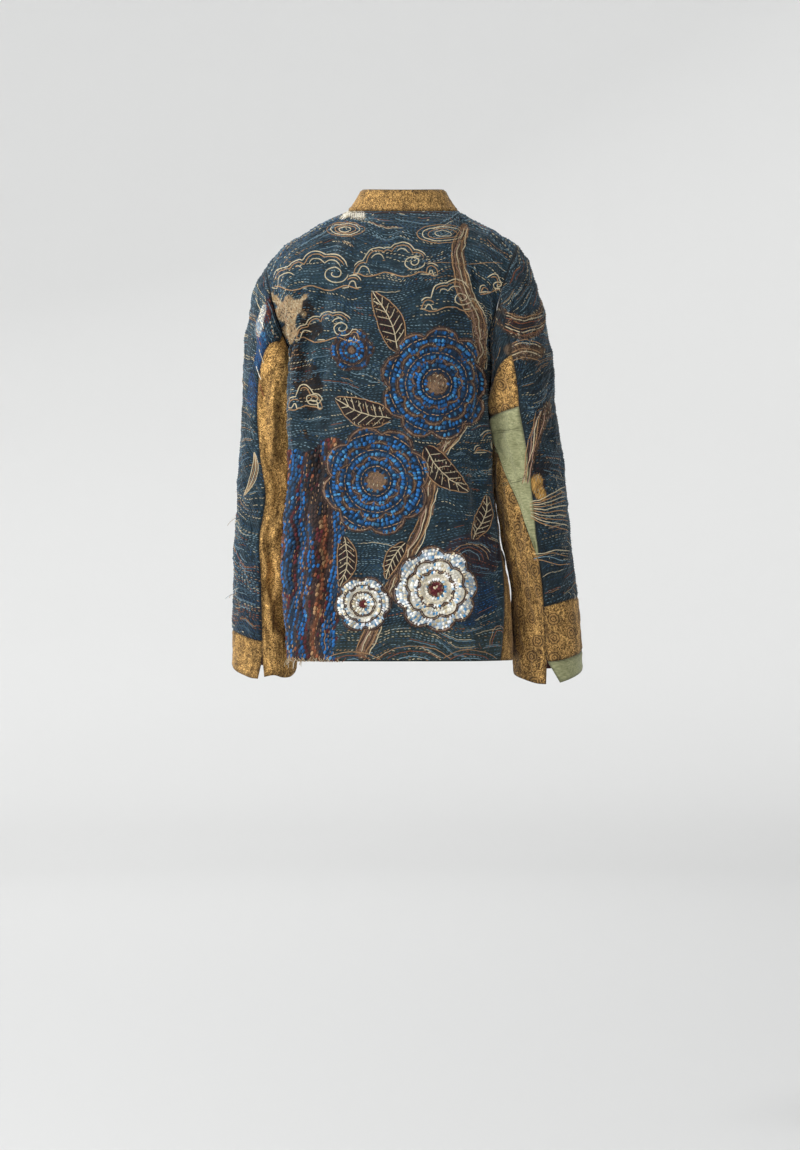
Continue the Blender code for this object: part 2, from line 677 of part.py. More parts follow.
def wearer_middle(name):
    """A function that gives the middle of the body or arm beside each point of a piece."""
    if "left" in name and "front" not in name:
        return lambda p: points(read(LEFT_ARM, "x", p[:, 2]), read(LEFT_ARM, "y", p[:, 2]), p[:, 2])
    if "right" in name and "front" not in name and "godet" not in name:
        return lambda p: points(read(RIGHT_ARM, "x", p[:, 2]), read(RIGHT_ARM, "y", p[:, 2]), p[:, 2])
    return lambda p: points(0 * p[:, 0], 0 * p[:, 0], np.minimum(p[:, 2], -0.1))


def own_normals(cloth):
    face = quads(*cloth.shape[:2])
    flat = cloth.reshape(-1, 3)
    across = np.cross(flat[face[:, 2]] - flat[face[:, 0]], flat[face[:, 3]] - flat[face[:, 1]])
    normal = np.zeros_like(flat)
    for corner in range(4):
        np.add.at(normal, face[:, corner], across)
    return normal / np.linalg.norm(normal, axis=1, keepdims=True)


def shared_normals(grids):
    """Each point's outward direction. Pieces that meet at an open angle share one, so that their
    edges stay parallel through the wall; where they fold back on each other each keeps its own."""
    own = {name: own_normals(cloth) for name, cloth in grids.items()}
    every = np.concatenate([cloth.reshape(-1, 3) for cloth in grids.values()])
    each = np.concatenate(list(own.values()))
    tree = kdtree.KDTree(len(every))
    for number, place in enumerate(every):
        tree.insert(place, number)
    tree.balance()
    found = {}
    for name, cloth in grids.items():
        mixed = []
        for place, normal in zip(cloth.reshape(-1, 3), own[name], strict=True):
            near = np.array([each[number] for _, number, _ in tree.find_range(place, 5e-5)])
            both = (near * ease((near @ normal + 0.1) / 0.5)[:, None]).sum(axis=0)
            mixed.append(both / np.linalg.norm(both))
        found[name] = np.array(mixed).reshape(cloth.shape)
    return found


def trimmed(cloth, normal, gap):
    """The points of a grid with each border drawn in by half a seam's gap, square to the border."""
    moved = cloth.copy()
    for border, beside in (
        ((0, slice(None)), (1, slice(None))),
        ((-1, slice(None)), (-2, slice(None))),
        ((slice(None), 0), (slice(None), 1)),
        ((slice(None), -1), (slice(None), -2)),
    ):
        line = cloth[border]
        tangent = np.gradient(line, axis=0)
        inward = np.cross(normal[border], tangent)
        inward /= np.linalg.norm(inward, axis=1, keepdims=True)
        inward *= np.sign((inward * (cloth[beside] - line)).sum(axis=1, keepdims=True))
        moved[border] += inward * gap / 2
    return moved


def wall_object(name, cloth, normal, wall, colour, collection):
    """A closed wall: the outer face, the inner face behind it, and the rim that joins them."""
    rows, columns = cloth.shape[:2]
    outer = trimmed(cloth, normal, SEAM_GAP).reshape(-1, 3)
    inner = outer - normal.reshape(-1, 3) * wall
    face = quads(rows, columns)
    count = rows * columns
    number = np.arange(count).reshape(rows, columns)
    border = np.concatenate([number[0, :-1], number[:-1, -1], number[-1, :0:-1], number[:0:-1, 0]])
    after = np.roll(border, -1)
    # Each side of the rim is split the same way as the side of the piece that it faces
    swap = (outer[after] - outer[border]) @ RIM_ORDER > 0
    rim = []
    for here, there, turned in zip(border, after, swap, strict=True):
        if turned:
            rim += [(here, here + count, there), (here + count, there + count, there)]
        else:
            rim += [(here, here + count, there + count), (here, there + count, there)]
    every = face.tolist() + (face[:, ::-1] + count).tolist() + rim
    mesh = bpy.data.meshes.new(name)
    mesh.from_pydata(np.concatenate([outer, inner]).tolist(), [], every)
    mesh.shade_smooth()
    mesh.set_sharp_from_angle(angle=1.0)
    mesh.materials.append(colour)
    made = bpy.data.objects.new(name, mesh)
    collection.objects.link(made)
    return made


def cloth_material(name, colour):
    material = bpy.data.materials.new(name)
    material.use_nodes = True
    shader = material.node_tree.nodes["Principled BSDF"]
    shader.inputs["Base Color"].default_value = (*colour, 1)
    shader.inputs["Roughness"].default_value = 0.9
    shader.inputs["Metallic"].default_value = 0.0
    material.diffuse_color = (*colour, 1)
    return material


def build():
    for old in list(bpy.data.objects):
        bpy.data.objects.remove(old)
    collection = bpy.data.collections.new("chinese_jacket")
    bpy.context.scene.collection.children.link(collection)
    colours = {name: cloth_material(name, colour) for name, colour in CLOTH_COLOURS.items()}
    pieces = cut_pieces()
    grids = {}
    for name, (cloth, _, _) in pieces.items():
        grids[name] = cloth if faces_out(cloth, wearer_middle(name)) else cloth[:, ::-1]
    normals = shared_normals(grids)
    for name, (_, wall, colour) in pieces.items():
        wall_object(name, grids[name], normals[name], wall, colours[colour], collection)


build()
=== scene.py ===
"""The looks of the quilted jacket: fine cloth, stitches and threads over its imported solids.

Metres, +Z up. The back faces +Y, which is where the camera stands. The first half repeats the sizes
and surfaces that the solids were made from, and the second half dresses them. Shapes that are dyed or
sewn into the cloth are placed in pixels of the photograph's frame.
"""

import math

import bpy
import numpy as np
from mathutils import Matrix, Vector, kdtree
from mathutils.bvhtree import BVHTree


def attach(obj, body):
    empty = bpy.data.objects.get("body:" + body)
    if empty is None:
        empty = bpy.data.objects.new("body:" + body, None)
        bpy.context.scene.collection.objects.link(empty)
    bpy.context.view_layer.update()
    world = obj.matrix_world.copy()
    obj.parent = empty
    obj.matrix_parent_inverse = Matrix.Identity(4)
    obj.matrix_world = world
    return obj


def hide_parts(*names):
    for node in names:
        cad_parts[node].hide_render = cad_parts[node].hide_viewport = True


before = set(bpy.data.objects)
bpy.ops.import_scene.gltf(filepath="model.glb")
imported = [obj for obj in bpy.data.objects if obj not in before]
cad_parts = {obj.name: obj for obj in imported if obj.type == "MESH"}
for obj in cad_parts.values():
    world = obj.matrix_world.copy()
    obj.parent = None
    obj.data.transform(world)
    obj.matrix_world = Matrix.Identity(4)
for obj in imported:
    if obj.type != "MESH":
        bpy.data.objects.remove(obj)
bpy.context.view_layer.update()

# Cloth
WALL = 0.0025
COLLAR_WALL = 0.003
SEAM_GAP = 0.0003

# Heights
HEM_Z = -0.745
UNDERARM_Z = -0.262
SLEEVE_RING_Z = -0.33
GODET_TOP_Z = -0.375

# Seams of the body in degrees round from centre back, and of the sleeves round from outside
RIGHT_SIDE_SEAM = 97.0
GODET_HEM_WIDTH = 38.0
FRONT_SEAM = 270.0

# Neckline, collar and front opening
NECK_HALF_WIDTH = 0.092
NECK_BACK_Y = 0.062
NECK_BACK_Z = -0.012
NECK_SIDE_Z = -0.006
NECK_FRONT_Y = -0.078
NECK_FRONT_Z = -0.070
COLLAR_HEIGHT = 0.036
COLLAR_LEAN = 0.26
FRONT_GAP_TOP = 0.010
FRONT_GAP_HEM = 0.026

# How square the body's sections are behind and before the sides, as powers of sine and cosine
BACK_POWER = 0.87
FRONT_POWER = 0.90

# Rows and columns of the coarse grid, and distances down a sleeve in steps of DOWN_UNIT
LOW_ROWS = 22
HIGH_ROWS = 12
NECK_COLUMNS = 6
SHOULDER_COLUMNS = 9
CAP_ROWS = 8
ARM_ROWS = 17
ARMHOLE_STEP = 15
COLLAR_ROWS = 3
GODET_COLUMNS = 3
GODET_END = 0.88
CUFF_FROM = 4.3
DOWN_UNIT = 0.09
LOW_Z = np.linspace(HEM_Z, UNDERARM_Z, LOW_ROWS + 1)
COLUMN = np.arange(NECK_COLUMNS + SHOULDER_COLUMNS + 1)
SHARE = COLUMN / COLUMN[-1]

# Room kept between a sleeve and the body beside it
SLEEVE_CLEARANCE = 0.006
CLEARANCE_RUN = 0.045
SLEEVE_TABLE_STEP = 5
SLEEVE_LEVELS = np.linspace(-0.79, UNDERARM_Z, 40)

# How the cloth leaves the underarm level and comes up to the neck, at the middle of back and front
BACK_BEND = np.array([[0.0, 0.020, 0.110], [0.0, 0.045, -0.050]])
FRONT_BEND = np.array([[0.0, -0.006, 0.100], [0.0, -0.022, -0.050]])
SHOULDER_ROUND = np.array([0.0, 0.008, 0.016])
EDGE_POWER = 2.0

# How far the sleeve runs on from the armhole before it turns down
CAP_REACH = 0.045


def table(columns, text):
    """Named columns from rows of text, parted by commas or line ends: one for each section or shape."""
    rows = [row.split() for row in text.replace("\n", ",").split(",") if row.strip()]
    columns = zip(columns.split(), zip(*rows, strict=True), strict=True)
    return {name: values if values[0][-1].isalpha() else np.array(values, float) for name, values in columns}


def lengths(columns, text):
    """The same with every column but the angles in millimetres."""
    return {name: v if "angle" in name else v / 1000 for name, v in table(columns, text).items()}


def rows_of(tab):
    """A table's rows, each by its columns' names."""
    return [dict(zip(tab, row, strict=True)) for row in zip(*tab.values(), strict=True)]


# Body below the underarm: where each side is widest, and how deep the back and front are
BODY = lengths(
    "z left_x left_y right_x right_y back_y front_y",
    """
    -745 188 40 -182 20 122 -132
    -700 191 46 -183 16 121 -131
    -620 197 52 -178 8 119 -129
    -540 195 56 -164 0 117 -127
    -440 186 60 -153 -6 115 -124
    -340 188 62 -150 -12 117 -121
    -262 188 62 -149 -14 121 -119
    """,
)

# Height of the shoulder line over its distance from the middle
SHOULDER = lengths("x z", "92 -6, 112 -16, 137 -30, 169 -48, 196 -64, 208 -77, 224 -95.5")

# Largest folds, as troughs below zero and ridges above it: the angle and height at both ends, the half
# width and the depth. A degree round the body or a sleeve counts as so many metres.
BODY_DEGREE = 0.0030
ARM_DEGREE = 0.00105
FOLD = "angle_0 z_0 angle_1 z_1 half depth"
BODY_FOLDS = lengths(
    FOLD,
    """
    50 -150 54 -340 16 -10, 66 -220 70 -400 16 5, 40 -330 58 -560 16 -11, 27 -380 42 -660 20 6
    60 -580 50 -745 14 -8, 38 -640 34 -745 14 4, -52 -120 -58 -300 14 -8, -40 -200 -46 -360 16 3
    -46 -400 -56 -620 20 -6, -30 -560 -34 -745 18 4, -8 -520 -4 -745 22 -5, 8 -100 30 -200 18 -3
    150 -250 146 -745 18 -9, 128 -400 134 -745 16 -7, -146 -300 -152 -745 20 -8
    -126 -500 -130 -745 15 -7
    """,
)

# Each side of the jacket. Armholes go by the angle round the sleeve: 0 at the shoulder, 90 behind, 270
# before. "arm" has the middle and half widths of each ring below the cap, "seam" the angle of the back
# seam and "cuff_edge" the foot's height. At the foot of the back seam is a vent, with its top and how
# many degrees each piece swings away. "cuts" has the lines where pieces meet: upper or under piece, the
# height at its seams, and how far the line rises between.
LEFT = {
    "out": 1,
    "side_seam": 118.0,
    "armhole": lengths(
        "angle x y z",
        """
        0 224 -4 -95.5, 30 224 32 -112, 60 218 58 -140, 90 209 68 -176, 120 196 60 -214
        150 178 36 -250, 210 161 -50 -252, 240 162 -78 -214, 270 172 -90 -172, 300 190 -80 -134
        330 210 -48 -106
        """,
    ),
    "arm": lengths(
        "z x y half_x half_y",
        """
        -780 231.4 -54 53.9 56, -705 230.5 -54 54 57, -617 227.8 -52 55 58
        -500 221.2 -44 56 60, -410 216.9 -36 55 62, -330 212.8 -26 53 66
        """,
    ),
    "seam": lengths(
        "z angle", "-780 90, -705 88, -600 82, -540 76, -480 84, -400 70, -320 60, -262 72, -214 120"
    ),
    "cuff_edge": lengths("angle z", "0 -757, 45 -769, 80 -777, 105 -771, 135 -776, 180 -764, 270 -758"),
    "end": -0.770,
    "vent": {"top": -0.737, "upper": -9.0, "under": 3.0},
    "cuts": {"cuff": ("upper", -0.711, 0.009)},
    "folds": lengths(
        FOLD,
        """
        96 -300 104 -430 8 -5, 74 -340 84 -470 9 4, 70 -545 150 -575 11 -7, 98 -590 132 -700 10 -6
        20 -480 75 -520 12 -4, 215 -400 300 -460 14 -6, 250 -560 340 -500 14 -5
        """,
    ),
}
RIGHT = {
    "out": -1,
    "side_seam": RIGHT_SIDE_SEAM,
    "armhole": lengths(
        "angle x y z",
        """
        0 -189 -4 -60, 30 -183 34 -84, 60 -168 60 -118, 90 -155 68 -162, 120 -143 58 -208
        150 -145 26 -250, 210 -147 -50 -252, 240 -148 -76 -214, 270 -155 -88 -168, 300 -167 -76 -122
        330 -180 -44 -83
        """,
    ),
    "arm": lengths(
        "z x y half_x half_y",
        """
        -790 -240 -4 58 58, -700 -237 0 57 60, -640 -233 4 55 62, -548 -218.8 10 56.8 65
        -482 -210.5 14 58.5 67, -380 -202.8 16 56 69, -330 -195.5 16 54.5 70
        """,
    ),
    "seam": lengths("z angle", "-790 92, -700 96, -600 94, -480 90, -350 98, -250 98, -162 90"),
    "cuff_edge": lengths("angle z", "0 -760, 45 -773, 75 -782, 105 -784, 140 -776, 180 -768, 270 -762"),
    "end": -0.780,
    "vent": {"top": -0.741, "upper": -20.0, "under": 4.0},
    "cuts": {
        "gold": ("under", -0.250, 0.012),
        "green": ("under", -0.332, -0.014),
        "cuff": ("upper", -0.657, 0.014),
        "low": ("under", -0.582, 0.200),
        "cuff_hem": ("upper", -0.744, 0.000),
    },
    "folds": lengths(
        FOLD,
        """
        112 -400 126 -560 11 -6, 60 -250 20 -330 13 -4, 104 -640 140 -700 10 -5
        40 -430 88 -470 12 -3, 220 -420 310 -470 14 -6, 240 -600 330 -560 14 -5
        """,
    ),
}


def curve(keys, values, at):
    """A smooth curve through the values at rising keys, held at its end values beyond them."""
    slopes = np.gradient(values, keys)
    at = np.clip(at, keys[0], keys[-1])
    i = np.clip(np.searchsorted(keys, at) - 1, 0, len(keys) - 2)
    step = keys[i + 1] - keys[i]
    t = (at - keys[i]) / step
    bend = t * (1 - t) * step * (slopes[i] * (1 - t) - slopes[i + 1] * t)
    return values[i] + (values[i + 1] - values[i]) * t * t * (3 - 2 * t) + bend


def read(tab, column, at):
    """A column of a table at any value of its first column."""
    return curve(next(iter(tab.values())), tab[column], np.asarray(at, float))


def read_round(tab, column, angle):
    """A column of a table whose first column is an angle that comes round."""
    keys, values = tab["angle"], tab[column]
    wide = np.concatenate([keys[-3:] - 360, keys, keys[:3] + 360])
    return curve(wide, np.concatenate([values[-3:], values, values[:3]]), np.asarray(angle, float) % 360)


def between(values, row, column):
    """A grid's values at any row and column."""
    i = np.clip(row.astype(int), 0, values.shape[0] - 2)
    j = np.clip(column.astype(int), 0, values.shape[1] - 2)
    s, t = (row - i)[..., None], (column - j)[..., None]
    low = values[i, j] * (1 - t) + values[i, j + 1] * t
    return low * (1 - s) + (values[i + 1, j] * (1 - t) + values[i + 1, j + 1] * t) * s


def ease(t):
    t = np.clip(t, 0, 1)
    return t * t * (3 - 2 * t)


def points(x, y, z):
    return np.stack(np.broadcast_arrays(x, y, z), axis=-1)


def beside(x, y, x_0, y_0, x_1, y_1, hold):
    """The share of a straight line that each point is beside, and how far it is from that line, or from
    the line's ends beyond them where hold is true."""
    along = np.array([x_1 - x_0, y_1 - y_0])
    t = ((x - x_0) * along[0] + (y - y_0) * along[1]) / (along @ along)
    at = np.clip(t, 0, 1) if hold else t
    return t, np.hypot(x - x_0 - at * along[0], y - y_0 - at * along[1])


def fold_depth(folds, angle, z, degree):
    """How far the folds lift the cloth at each angle and height; they fade out at their ends."""
    depth = np.zeros(np.broadcast(angle, z).shape)
    for a_0, z_0, a_1, z_1, half, most in zip(*folds.values(), strict=True):
        _, off = beside(angle * degree, z, a_0 * degree, z_0, a_1 * degree, z_1, True)
        depth += most * np.exp(-((off / half) ** 2))
    return depth


def arm_ring(side, z, angle):
    """A sleeve's smooth ring at a height and an angle round it: 0 outwards, 90 behind."""
    arm, turn = side["arm"], np.radians(angle)
    x = read(arm, "x", z) + side["out"] * read(arm, "half_x", z) * np.cos(turn)
    return points(x, read(arm, "y", z) + read(arm, "half_y", z) * np.sin(turn), z)


def bare_body_point(angle, z):
    """The body's outer face below the underarm, before folds, at an angle round from centre back."""
    angle, z = np.broadcast_arrays(np.asarray(angle, float), np.asarray(z, float))
    left, behind = angle >= 0, np.abs(angle) <= 90
    side_x = np.where(left, read(BODY, "left_x", z), read(BODY, "right_x", z))
    side_y = np.where(left, read(BODY, "left_y", z), read(BODY, "right_y", z))
    end_y = np.where(behind, read(BODY, "back_y", z), read(BODY, "front_y", z))
    power, turn = np.where(behind, BACK_POWER, FRONT_POWER), np.radians(np.abs(angle))
    return points(side_x * np.sin(turn) ** power, side_y + (end_y - side_y) * np.abs(np.cos(turn)) ** power, z)


def off_arm(side, cloth):
    """How far points lie off the middle of an arm: as offsets, as distances and as directions."""
    z = cloth[..., 2]
    off = cloth - points(read(side["arm"], "x", z), read(side["arm"], "y", z), z)
    return off, np.hypot(off[..., 0], off[..., 1]), np.degrees(np.arctan2(off[..., 1], off[..., 0])) % 360


def clear_of_sleeve(side, cloth):
    """The body's points, moved off the sleeve that hangs beside them."""
    off, reach, way = off_arm(side, cloth)
    z, way = cloth[..., 2], way / SLEEVE_TABLE_STEP
    level = (z - SLEEVE_LEVELS[0]) / (SLEEVE_LEVELS[1] - SLEEVE_LEVELS[0])
    level = np.clip(level, 0, len(SLEEVE_LEVELS) - 1.001)
    rim = np.interp(way, np.arange(len(side["rim"])), side["rim"])
    share = ease((rim - z) / CLEARANCE_RUN)
    limit = between(side["reach"][..., None], level, way)[..., 0] + SLEEVE_CLEARANCE * share
    soft_edge = 0.003 * share + 1e-5
    over = np.clip((limit - reach) / soft_edge, -40, 40)
    pushed = np.where(over > 30, limit, reach + soft_edge * np.log1p(np.exp(over)))
    pushed = np.where(reach > limit + 0.03, reach, np.maximum(pushed, reach))
    return cloth + off * (pushed / np.maximum(reach, 1e-6) - 1)[..., None]


def body_point(angle, z):
    """The body's outer face below the underarm, left angles positive."""
    cloth = bare_body_point(angle, z)
    grow = 1 + fold_depth(BODY_FOLDS, angle, z, BODY_DEGREE) / np.hypot(cloth[..., 0], cloth[..., 1])
    return clear_of_sleeve(RIGHT, clear_of_sleeve(LEFT, cloth * points(grow, grow, 1)))


def front_edge_angle(z):
    """Where the open front edge lies, in degrees from centre back."""
    gap = FRONT_GAP_TOP + (FRONT_GAP_HEM - FRONT_GAP_TOP) * (UNDERARM_Z - z) / (UNDERARM_Z - HEM_Z)
    return 180 - np.degrees(np.arcsin((gap / 2 / read(BODY, "left_x", z)) ** (1 / FRONT_POWER)))


def neckline(turn):
    """The neckline on the left, from centre back at 0 degrees past the shoulder at 90 to 180."""
    sine, cosine, behind = np.sin(np.radians(turn)), np.cos(np.radians(turn)), turn <= 90
    y = np.where(behind, NECK_BACK_Y * cosine, -NECK_FRONT_Y * cosine)
    drop = np.where(behind, NECK_BACK_Z - NECK_SIDE_Z, NECK_FRONT_Z - NECK_SIDE_Z)
    x = np.maximum(NECK_HALF_WIDTH * sine, np.where(behind, 0, FRONT_GAP_TOP / 2))
    return points(x, y, NECK_SIDE_Z + drop * np.abs(cosine) ** 1.5)


def armhole(side, angle):
    """The armhole at an angle round the sleeve. Its foot is where the side seam ends."""
    foot = bare_body_point(side["out"] * side["side_seam"], UNDERARM_Z)
    holes = side["armhole"]
    at = np.searchsorted(holes["angle"], 180)
    whole = {name: np.insert(holes[name], at, value) for name, value in zip(holes, (180, *foot), strict=True)}
    return points(*(read_round(whole, axis, angle) for axis in "xyz"))


def shoulder_seam(side, share):
    """The shoulder seam, from the collar at 0 to the armhole at 1."""
    tip = armhole(side, 0.0)
    x = NECK_HALF_WIDTH + (abs(tip[0]) - NECK_HALF_WIDTH) * share
    return points(side["out"] * x, tip[1] * share, read(SHOULDER, "z", x))


def bezier(start, lean_in, lean_out, end, t):
    bend = lean_in * 3 * t * (1 - t) ** 2 + lean_out * 3 * t * t * (1 - t)
    return start * (1 - t) ** 3 + bend + end * t**3


def upper_body(side, behind):
    """One quarter of the body above the underarm, rows from the underarm up and columns from the
    middle out to the armhole. The four edges are worked out and the cloth is spread between them."""
    edge = 0.0 if behind else front_edge_angle(UNDERARM_Z)
    angles = side["out"] * (edge + (side["side_seam"] - edge) * SHARE)
    base = body_point(angles, UNDERARM_Z)
    base[-1] = armhole(side, 180.0)
    turn = 90 * np.minimum(COLUMN, NECK_COLUMNS) / NECK_COLUMNS
    neck = neckline(turn if behind else 180 - turn) * (side["out"], 1, 1)
    seam = shoulder_seam(side, np.maximum(COLUMN - NECK_COLUMNS, 0) / SHOULDER_COLUMNS)
    top = np.where((COLUMN > NECK_COLUMNS)[:, None], seam, neck)

    t = (np.arange(HIGH_ROWS + 1) / HIGH_ROWS)[:, None]
    rise, fall = BACK_BEND if behind else FRONT_BEND
    middle = bezier(base[0], base[0] + rise, top[0] + fall, top[0], t)
    hole = armhole(side, (180 * (1 - t) if behind else 180 + 180 * t)[:, 0])
    middle_bend = middle - base[0] * (1 - t) - top[0] * t
    hole_bend = hole - base[-1] * (1 - t) - top[-1] * t
    weight, t = (SHARE**EDGE_POWER)[None, :, None], t[..., None]
    cloth = base * (1 - t) + top * t + middle_bend[:, None] * (1 - weight) + hole_bend[:, None] * weight
    past_neck = (ease(COLUMN / NECK_COLUMNS) * (1 - SHARE**4))[None, :, None]
    cloth = cloth + 6.75 * t**2 * (1 - t) * past_neck * SHOULDER_ROUND * (1, 1 if behind else -1, 1)

    t = t[..., 0]
    fade = (1 - SHARE**6) * np.minimum(1, 3 * (1 - t))
    folds = fold_depth(BODY_FOLDS, angles, cloth[..., 2], BODY_DEGREE)
    folds -= fold_depth(BODY_FOLDS, angles, UNDERARM_Z, BODY_DEGREE) * (1 - t) ** 2
    cloth[..., 1] += folds * fade * (1 if behind else -1)
    return cloth


def lower_body(start, end):
    """The body from the hem up to the underarm, between two seams given as angles at each row."""
    start, end = start + 0 * LOW_Z[:, None], end + 0 * LOW_Z[:, None]
    return body_point(start + (end - start) * SHARE, LOW_Z[:, None])


def godet_angle(z):
    """The right back seam's angle: it leaves the side seam below the godet's top."""
    share = np.clip((GODET_TOP_Z - z) / (GODET_TOP_Z - HEM_Z), 0, 1)
    return -RIGHT_SIDE_SEAM + GODET_HEM_WIDTH * share**0.6


def back_panel():
    left = np.concatenate([lower_body(0.0, LEFT["side_seam"])[:-1], upper_body(LEFT, True)])
    right = np.concatenate([lower_body(0.0, godet_angle(LOW_Z[:, None]))[:-1], upper_body(RIGHT, True)])
    return np.concatenate([right[:, :0:-1], left], axis=1)[:, ::-1]


def front_panel(side):
    out = side["out"]
    low = lower_body(out * front_edge_angle(LOW_Z[:, None]), out * side["side_seam"])
    return np.concatenate([low[:-1], upper_body(side, False)])[:, ::out]


def godet():
    """The gold strip, up to a narrow end a little below the row where its two seams part."""
    apex = body_point(-RIGHT_SIDE_SEAM, LOW_Z[LOW_Z > GODET_TOP_Z][0])
    z = LOW_Z[LOW_Z <= GODET_TOP_Z][:, None]
    start, share = godet_angle(z), np.arange(GODET_COLUMNS + 1) / GODET_COLUMNS
    low = body_point(start + (-RIGHT_SIDE_SEAM - start) * share, z)
    return np.concatenate([low, (low[-1] + (apex - low[-1]) * GODET_END)[None]])


def collar():
    """The stand collar: the neckline, carried up and leaning in."""
    foot = neckline(90 * np.arange(2 * NECK_COLUMNS + 1) / NECK_COLUMNS)
    x, y, z = np.concatenate([foot[:0:-1] * (-1, 1, 1), foot]).T
    rows = []
    for share in np.arange(COLLAR_ROWS + 1) / COLLAR_ROWS:
        lean = COLLAR_LEAN * share * (1.2 - 0.2 * share)
        moved = np.sign(x) * np.maximum(np.abs(x) * (1 - lean), FRONT_GAP_TOP / 2)
        moved = np.where(np.abs(x) < 1e-6, 0, moved)
        rows.append(points(moved, y * (1 - 0.5 * lean), z + COLLAR_HEIGHT * share))
    return np.array(rows)[:, ::-1]


def cap_reach(side, angle):
    """How the sleeve leaves the armhole: outwards over the shoulder, back behind, down below."""
    turn = np.radians(angle)
    outward = 0.25 + 0.42 * np.maximum(np.cos(turn), 0) - 0.25 * np.maximum(-np.cos(turn), 0)
    way = points(side["out"] * outward, 0.45 * np.sin(turn), -0.62 + 0 * turn)
    return way / np.linalg.norm(way, axis=-1, keepdims=True) * CAP_REACH


def sleeve_point(side, down, angle):
    """A sleeve's outer face. Down runs from 0 at the armhole to 1 at the top ring, and below that
    it goes on by one for each DOWN_UNIT."""
    below = np.maximum(down - 1, 0) * DOWN_UNIT
    hole, ring, turn = armhole(side, angle), arm_ring(side, SLEEVE_RING_Z, angle), np.radians(angle)
    lift = points(0, 0, 0.35 * (hole[..., 2] - SLEEVE_RING_Z))
    cap = bezier(hole, hole + cap_reach(side, angle), ring + lift, ring, np.clip(down, 0, 1)[..., None])
    cloth = np.where((down > 1)[..., None], arm_ring(side, SLEEVE_RING_Z - below, angle), cap)
    angle = angle % 360
    folds = sum(fold_depth(side["folds"], a, cloth[..., 2], ARM_DEGREE) for a in (angle, angle - 360))
    folds = folds * ease(2 * down)
    return cloth + points(side["out"] * folds * np.cos(turn), folds * np.sin(turn), 0)


def reach_table(side):
    """How far a sleeve reaches from its middle, by level and by direction, and the height of the
    armhole in each direction."""
    angle = np.arange(0, 360, SLEEVE_TABLE_STEP)
    down = np.concatenate([np.linspace(0, 1, 21), 1 + np.linspace(0.01, 0.46, 46) / DOWN_UNIT])
    columns = sleeve_point(side, down[::-1, None], angle[None, :]).swapaxes(0, 1)
    steps = np.arange(0, 361, SLEEVE_TABLE_STEP)
    found = []
    for z in SLEEVE_LEVELS:
        x, y = ([np.interp(z, column[:, 2], column[:, axis]) for column in columns] for axis in (0, 1))
        _, reach, way = off_arm(side, points(x, y, z))
        order = np.argsort(way)
        found.append(np.interp(steps, way[order], reach[order], period=360))
    return np.array(found), np.interp(steps, way[order], armhole(side, angle)[order, 2], period=360)


for one in (LEFT, RIGHT):
    one["reach"], one["rim"] = reach_table(one)


def sleeve_rows(side):
    """The rows of a whole sleeve as distances down it, with a row on every line where pieces meet."""
    seam_top = armhole(side, side["seam"]["angle"][-1])[2]
    end = 1 + (SLEEVE_RING_Z - side["end"]) / DOWN_UNIT
    arm_rows = 1 + (end - 1) * np.arange(ARM_ROWS + 1) / ARM_ROWS
    rows, lines = np.concatenate([np.arange(CAP_ROWS) / CAP_ROWS, arm_rows]), {}
    for name, (_, z, _) in side["cuts"].items():
        below = (SLEEVE_RING_Z - z) / DOWN_UNIT
        lines[name] = 1 + below if below > 0 else (seam_top - z) / (seam_top - SLEEVE_RING_Z)
        rows[np.argmin(np.abs(rows - lines[name]))] = lines[name]
    return rows, lines


def sleeve_piece(side, edge, top, foot):
    """A piece of sleeve between two lines round it. With no top line it starts at the armhole, and
    with no foot line it ends at the cuff's edge. Its columns run from seam to seam."""
    rows, lines = sleeve_rows(side)
    start, stop = lines.get(top, 0.0), lines.get(foot, rows[-1])
    down = rows[(rows >= start - 1e-9) & (rows <= stop + 1e-9)][:, None]
    back = side["seam"]["angle"][-1]
    low, high = (FRONT_SEAM - 360, back) if edge == "upper" else (back, FRONT_SEAM)
    share = (np.arange(low, high + 1, ARMHOLE_STEP)[None, :] - low) / (high - low)

    mids = {name: rise for name, (where, _, rise) in side["cuts"].items() if where == edge}
    rises = np.interp(down, [0.0, *(lines[name] for name in mids), rows[-1]], [0.0, *mids.values(), 0.0])
    slanted = down - rises * np.sin(np.pi * share) / DOWN_UNIT

    seam_top = armhole(side, back)[2]
    cap_z = seam_top + (SLEEVE_RING_Z - seam_top) * slanted
    seam_z = np.where(slanted < 1, cap_z, SLEEVE_RING_Z - (slanted - 1) * DOWN_UNIT)
    vent = side["vent"]
    swing = vent[edge] * np.clip((vent["top"] - seam_z) / (vent["top"] - side["end"]), 0, 1)
    seam = read(side["seam"], "angle", seam_z) + swing
    seam = seam + (back - seam) * (1 - np.clip(slanted, 0, 1)) ** 2
    angle = low + (seam - low) * share if edge == "upper" else seam + (high - seam) * share
    cuff = 1 + (SLEEVE_RING_Z - read_round(side["cuff_edge"], "z", angle)) / DOWN_UNIT
    foot_share = np.clip((slanted - CUFF_FROM) / (rows[-1] - CUFF_FROM), 0, 1)
    return sleeve_point(side, slanted + (cuff - rows[-1]) * foot_share, angle)[:, :: -side["out"]]


def quads(rows, columns):
    """The corners of a grid's faces, as numbers of its points."""
    corner = (np.arange(rows - 1)[:, None] * columns + np.arange(columns - 1)[None, :]).ravel()
    return np.stack([corner, corner + 1, corner + columns + 1, corner + columns], axis=1)


def unit(vectors):
    return vectors / np.maximum(np.linalg.norm(vectors, axis=-1, keepdims=True), 1e-12)


